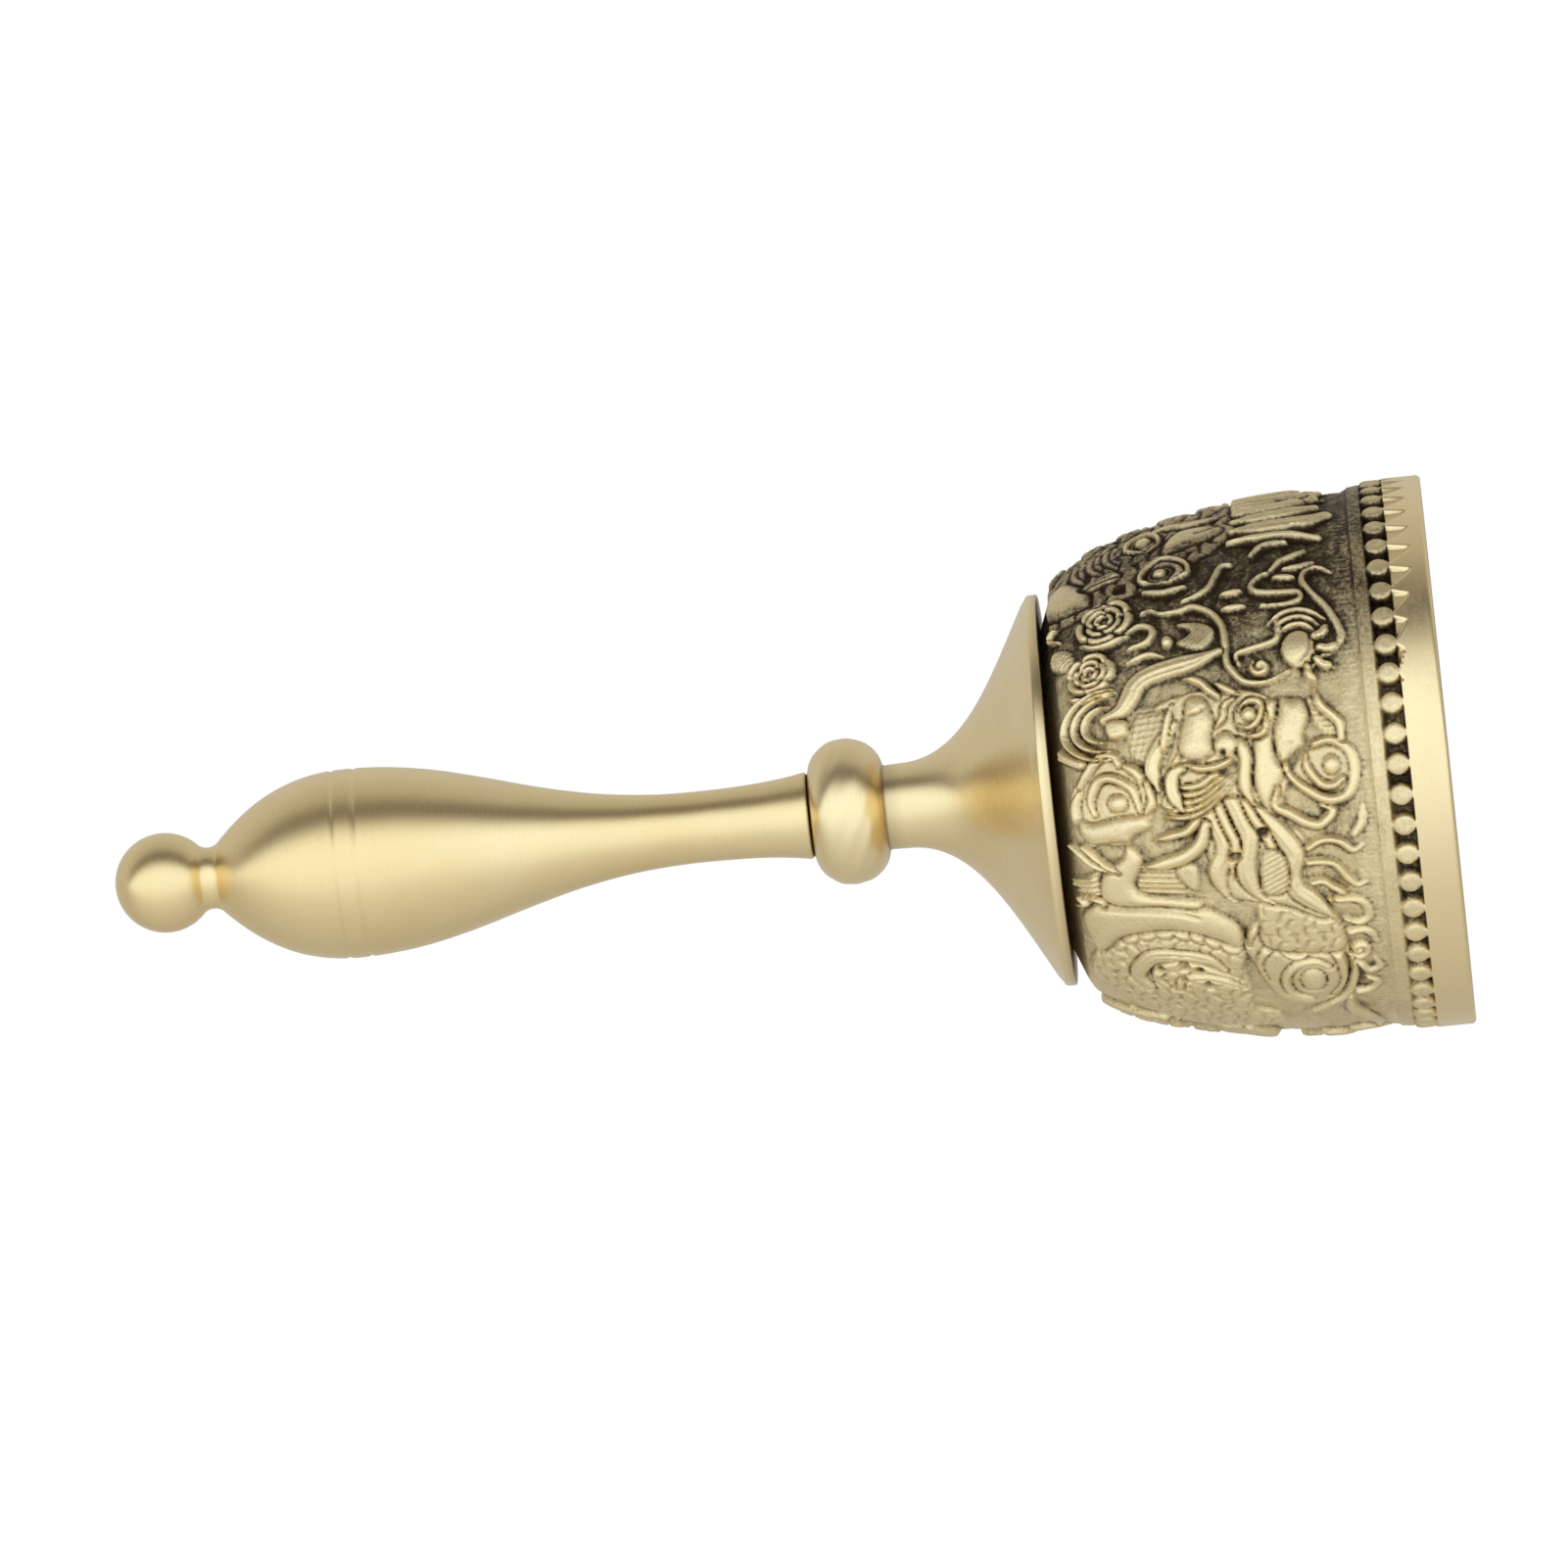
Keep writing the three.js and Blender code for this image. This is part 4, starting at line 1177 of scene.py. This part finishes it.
def thread(low, high):
    """Relief of a helical V thread between two heights."""
    def cut(radius, height, angles):
        if radius < 1.7 or not low < height < high:
            return 0 * angles
        phase = (height / THREAD_PITCH + angles / (2 * np.pi)) % 1
        return -THREAD_DEPTH * np.abs(2 * phase - 1)
    return cut


def handle_stud(brass):
    """Threaded stud between grip and bead."""
    low, high = STUD_LOW[2], STUD_HIGH[2]
    rows = threaded_rows(STUD_HIGH[0], low, high)
    add_piece("handle_stud_threaded", turned(rows, 48, thread(low + 0.5, high - 0.5)), brass, "bell",
              "handle_stud", 60)


def eye_bolt(brass):
    """Threaded shank with a round shoulder over a bent wire eye."""
    wire_r = 0.8
    mean_r = BOLT_HIGH[0] - wire_r
    eye_z = BOLT_LOW[2] + mean_r + wire_r
    shoulder = eye_z + mean_r
    shank_r = BOLT_HIGH[1]
    rows = outline(
        (0, shoulder - 0.5),
        (wire_r, shoulder - 0.5),
        bezier((wire_r, shoulder - 0.4), (wire_r, shoulder), (shank_r - 0.6, shoulder),
               (shank_r - 0.3, shoulder + 0.3), 8),
        along((shank_r, shoulder + 0.6), (shank_r, BOLT_HIGH[2] - 0.5), 0.1),
        (shank_r - 0.45, BOLT_HIGH[2]),
        (0, BOLT_HIGH[2]),
    )
    shank = turned(rows, 48, thread(shoulder + 0.8, BOLT_HIGH[2] - 0.5))
    eye = wire_loop(eye_z, mean_r, wire_r, False)
    add_piece("eye_bolt_bent", joined(shank, eye), brass, "bell", "eye_bolt", 60)


def crown_washer(brass):
    """Flat washer with the rounded rim of a stamping."""
    low, high, radius = WASHER_LOW[2], WASHER_HIGH[2], WASHER_HIGH[0]
    rounding = 0.14
    rows = outline(
        (HOLE_R, low + 0.1),
        (HOLE_R + 0.1, low),
        along((HOLE_R + 0.1, low), (radius - rounding, low), 1.5),
        arc((radius - rounding, low + rounding), rounding, -90, 0, 4),
        arc((radius - rounding, high - rounding), rounding, 0, 90, 4),
        (HOLE_R + 0.1, high),
        (HOLE_R, high - 0.1),
        (HOLE_R, low + 0.1),
    )
    add_piece("crown_washer_stamped", turned(rows, 96), brass, "bell", "crown_washer")


def spring_washer(steel):
    """Split ring of square wire with rounded corners, cut at a slant."""
    low, high, radius = SPRING_LOW[2], SPRING_HIGH[2], SPRING_HIGH[1]
    corner = 0.12
    corners = ((radius - corner, high - corner), (HOLE_R + corner, high - corner),
               (HOLE_R + corner, low + corner), (radius - corner, low + corner))
    section = np.vstack([arc(centre, corner, 90 * k, 90 * k + 90, 3) for k, centre in enumerate(corners)])
    middle = (low + high) / 2
    gap = 14
    steps = 90
    rings = []
    for share in np.linspace(0, 1, steps):
        slant = 4 * (section[:, 1] - middle)
        angles = np.radians(90 + gap / 2 + (360 - gap) * share + slant)
        rings.append(circle_points(section[:, 0], section[:, 1], angles))
    sides = len(section)
    faces = grid_faces(steps, sides, False)
    faces.append(tuple(range(sides))[::-1])
    faces.append(tuple((steps - 1) * sides + k for k in range(sides)))
    add_piece("spring_washer_split", (np.vstack(rings), faces), steel, "bell", "spring_washer")


def hanger_nut(brass):
    """Hexagon nut, its corners turned off to a cone at both faces."""
    low, high = NUT_LOW[2], NUT_HIGH[2]
    flat_r = NUT_HIGH[1]
    corner_r = flat_r / math.cos(math.radians(30))
    cone = (corner_r - flat_r) * 1.05

    def hexagon(radius, height, angles):
        if radius < flat_r - 0.1:
            return 0 * angles
        from_flat = (np.degrees(angles) + 30) % 60 - 30
        hexagonal = flat_r / np.cos(np.radians(from_flat))
        to_face = min(height - low, high - height)
        return np.minimum(hexagonal, flat_r - 0.02 + cone * to_face / 0.45) - radius

    edge = np.r_[0, 0.1, 0.2, 0.3, 0.45, 0.8]
    heights = np.r_[low + edge, high - edge[::-1]]
    rows = outline(
        (HOLE_R, low + 0.35),
        (HOLE_R + 0.35, low),
        (flat_r - 0.3, low),
        [(flat_r, height) for height in heights],
        (flat_r - 0.3, high),
        (HOLE_R + 0.35, high),
        (HOLE_R, high - 0.35),
        (HOLE_R, low + 0.35),
    )
    add_piece("hanger_nut_hexagon", turned(rows, 144, hexagon), brass, "bell", "hanger_nut",
              20)


def clapper_ring(brass):
    """Bent wire ring between the eye and the clapper's loop."""
    wire_r = RING_HIGH[0]
    mean_r = RING_HIGH[1] - wire_r
    centre = (RING_LOW[2] + RING_HIGH[2]) / 2
    add_piece("clapper_ring_wire", wire_loop(centre, mean_r, wire_r, True), brass, "ring", "clapper_ring",
              60)


def clapper(brass, ball_brass):
    """Rod with its bent loop and two stops, and the bored ball between the stops."""
    wire_r, loop_r, rod_r = 0.7, 1.7, 1.3
    stop_r = ROD_HIGH[1]
    loop_z = ROD_HIGH[2] - loop_r - wire_r
    foot = ROD_LOW[2]
    neck = loop_z - loop_r
    under, over = BALL_LOW[2], BALL_HIGH[2]
    stop = under - foot
    ease_r = 0.15

    def collar(low, high):
        return [(rod_r, low), (stop_r - ease_r, low), (stop_r, low + ease_r), (stop_r, high - ease_r),
                (stop_r - ease_r, high), (rod_r, high)]

    rows = outline(
        (0, foot),
        (stop_r - 0.3, foot),
        arc((stop_r - 0.3, foot + 0.3), 0.3, -90, 0, 4),
        (stop_r, under - ease_r),
        (stop_r - ease_r, under),
        (rod_r, under),
        along((rod_r, under), (rod_r, over), 1.5),
        collar(over, over + stop),
        along((rod_r, over + stop), (rod_r, neck - 1.6), 1.2),
        bezier((rod_r, neck - 1.6), (rod_r, neck - 0.8), (wire_r, neck - 0.8), (wire_r, neck), 8),
        (0, neck + 0.2),
    )
    loop = wire_loop(loop_z, loop_r, wire_r, False)
    add_piece("clapper_rod_bent", joined(turned(rows, 48), loop), brass, "clapper", "clapper_rod",
              60)

    ball_r = BALL_HIGH[0]
    ball_z = (under + over) / 2
    bore = 1.45
    end = math.degrees(math.asin((over - ball_z) / ball_r)) - 1.2
    rows = outline(
        (bore, under + 0.12),
        (bore + 0.12, under),
        arc((0, ball_z), ball_r, -end, end, 56),
        (bore + 0.12, over),
        (bore, over - 0.12),
        along((bore, over - 0.12), (bore, under + 0.12), 2),
    )

    def tool_marks(radius, height, angles):
        outside = radius > 2
        return outside * (-0.012 + 0.008 * math.sin(height * 11) + 0.004 * np.sin(9 * angles + 2 * height))

    ball = add_piece("clapper_ball_turned", turned(rows, 96, tool_marks), ball_brass, "clapper",
                     "clapper_ball")
    grime_near(ball, (under, over), 0.6)


# ------------------------------------------------------------------ floor, light and camera


def fresh_nodes(tree, *kinds):
    """New nodes in an emptied tree, by kind."""
    tree.nodes.clear()
    return {kind: tree.nodes.new("ShaderNode" + kind) for kind in kinds}


def floor():
    """Pale round floor that fades out at its edge and lets a camera below it see up into the bell."""
    radius, sides = 0.34, 96
    angles = np.linspace(0, 2 * np.pi, sides + 1)[:-1]
    rim = [(radius * math.cos(a), radius * math.sin(a), 0) for a in angles]
    mesh = bpy.data.meshes.new("studio_floor")
    mesh.from_pydata(rim, [], [tuple(range(sides))])
    disc = bpy.data.objects.new("studio_floor", mesh)
    disc.location.z = -0.00005
    disc.visible_glossy = False
    bpy.context.scene.collection.objects.link(disc)

    material = bpy.data.materials.new("studio_floor")
    material.use_nodes = True
    tree = material.node_tree
    made = fresh_nodes(tree, "TexCoord", "VectorMath", "MapRange", "BsdfDiffuse", "Emission", "AddShader",
                       "BsdfTransparent", "NewGeometry", "Math", "MixShader", "OutputMaterial")
    made["VectorMath"].operation = "LENGTH"
    made["MapRange"].inputs[1].default_value = 0.45 * radius
    made["MapRange"].inputs[2].default_value = 0.98 * radius
    made["BsdfDiffuse"].inputs["Color"].default_value = (0.86, 0.855, 0.84, 1)
    made["Emission"].inputs["Strength"].default_value = 0.5
    made["Math"].operation = "MAXIMUM"
    for source, output, target, entry in (
        ("TexCoord", "Object", "VectorMath", 0),
        ("VectorMath", "Value", "MapRange", 0),
        ("MapRange", 0, "Math", 0),
        ("NewGeometry", "Backfacing", "Math", 1),
        ("BsdfDiffuse", 0, "AddShader", 0),
        ("Emission", 0, "AddShader", 1),
        ("Math", 0, "MixShader", 0),
        ("AddShader", 0, "MixShader", 1),
        ("BsdfTransparent", 0, "MixShader", 2),
        ("MixShader", 0, "OutputMaterial", 0),
    ):
        tree.links.new(made[source].outputs[output], made[target].inputs[entry])
    mesh.materials.append(material)


def surround():
    """White studio. What the metal mirrors is a tent: bright panel, dark gap, softer walls."""
    world = bpy.data.worlds.new("studio")
    bpy.context.scene.world = world
    world.use_nodes = True
    tree = world.node_tree
    made = fresh_nodes(tree, "TexCoord", "SeparateXYZ", "ValToRGB", "LightPath")
    turn, back, share, tent, white, either, output = (tree.nodes.new("ShaderNode" + kind) for kind in (
        "Math", "Math", "MapRange", "Background", "Background", "MixShader", "OutputWorld"))
    turn.operation = "ARCTAN2"
    back.operation = "MULTIPLY"
    back.inputs[1].default_value = -1
    share.inputs[1].default_value = -math.pi
    share.inputs[2].default_value = math.pi
    link = tree.links.new
    link(made["TexCoord"].outputs["Generated"], made["SeparateXYZ"].inputs[0])
    link(made["SeparateXYZ"].outputs["Y"], back.inputs[0])
    link(made["SeparateXYZ"].outputs["X"], turn.inputs[0])
    link(back.outputs[0], turn.inputs[1])
    link(turn.outputs[0], share.inputs[0])
    link(share.outputs[0], made["ValToRGB"].inputs[0])
    link(made["ValToRGB"].outputs[0], tent.inputs["Color"])
    link(made["LightPath"].outputs["Is Camera Ray"], either.inputs[0])
    link(tent.outputs[0], either.inputs[1])
    link(white.outputs[0], either.inputs[2])
    link(either.outputs[0], output.inputs["Surface"])
    white.inputs["Color"].default_value = (1, 1, 1, 1)
    tent.inputs["Strength"].default_value = 1.3

    ramp = made["ValToRGB"].color_ramp
    walls = ((-180, 0.46), (-131, 0.42), (-93, 0.5), (-66, 0.57), (-43, 0.67), (-21, 0.84), (0, 0.92),
             (27, 0.96), (42, 0.74), (52, 0.26), (63, 0.1), (75, 0.2), (90, 0.42), (131, 0.5), (180, 0.46))
    while len(ramp.elements) < len(walls):
        ramp.elements.new(0.5)
    for element, (angle, level) in zip(ramp.elements, walls):
        element.position = (angle + 180) / 360
        element.color = (level, level * (0.9 + 0.2 * level), level * (0.74 + 0.42 * level), 1)


def soft_light(name, azimuth, elevation, distance, size, power):
    """Square softbox aimed at the bell's middle, not seen by the camera."""
    data = bpy.data.lights.new(name, "AREA")
    data.shape = "SQUARE"
    data.size = size
    data.energy = power
    lamp = bpy.data.objects.new(name, data)
    turn, rise = math.radians(azimuth), math.radians(elevation)
    direction = Vector((math.sin(turn) * math.cos(rise), -math.cos(turn) * math.cos(rise), math.sin(rise)))
    middle = Vector((0, 0, 0.05))
    lamp.location = middle + direction * distance
    lamp.rotation_euler = direction.to_track_quat("Z", "Y").to_euler()
    lamp.visible_camera = False
    lamp.visible_glossy = False
    bpy.context.scene.collection.objects.link(lamp)


def camera():
    """Long lens on the -Y side, turned so that the bell lies with its grip to the left."""
    distance, field, sensor = 1.506, 0.1567, 36
    tilt, roll = math.radians(2.63), math.radians(5.97)
    target = Vector((3.4 * MM, 0, 66.3 * MM))
    forward = Vector((0, math.cos(tilt), math.sin(tilt)))
    mouthward = Vector((0, math.sin(tilt), -math.cos(tilt)))
    sideways = Vector((1, 0, 0))
    right = mouthward * math.cos(roll) - sideways * math.sin(roll)
    up = mouthward * math.sin(roll) + sideways * math.cos(roll)
    lens = bpy.data.cameras.new("camera")
    lens.sensor_width = sensor
    lens.lens = sensor * distance / field
    lens.clip_start = 0.01
    view = bpy.data.objects.new("camera", lens)
    position = target - forward * distance
    view.matrix_world = Matrix.Translation(position) @ Matrix((right, up, -forward)).transposed().to_4x4()
    bpy.context.scene.collection.objects.link(view)
    bpy.context.scene.camera = view


bpy.context.scene.view_settings.view_transform = "Standard"
camera()
surround()
soft_light("key", 32, 55, 0.7, 0.5, 1.6)
soft_light("fill", -100, 50, 0.8, 0.6, 1.0)
floor()

fastener_brass = plain_metal("fastener_brass", (0.74, 0.56, 0.28, 1), (0.52, 0.36, 0.15, 1), 6, (0.28, 0.42))
spring_steel = plain_metal("spring_steel", (0.58, 0.58, 0.57, 1), (0.42, 0.42, 0.42, 1), 9, (0.3, 0.45))
clapper_brass = turned_brass("clapper_brass", BRASS, BRASS_DEEP, lines=5.0, roughness=(0.3, 0.46))

bell_cup()
flared_cap()
handle_grip()
handle_stud(fastener_brass)
crown_washer(fastener_brass)
spring_washer(spring_steel)
hanger_nut(fastener_brass)
eye_bolt(fastener_brass)
clapper_ring(fastener_brass)
clapper(fastener_brass, clapper_brass)
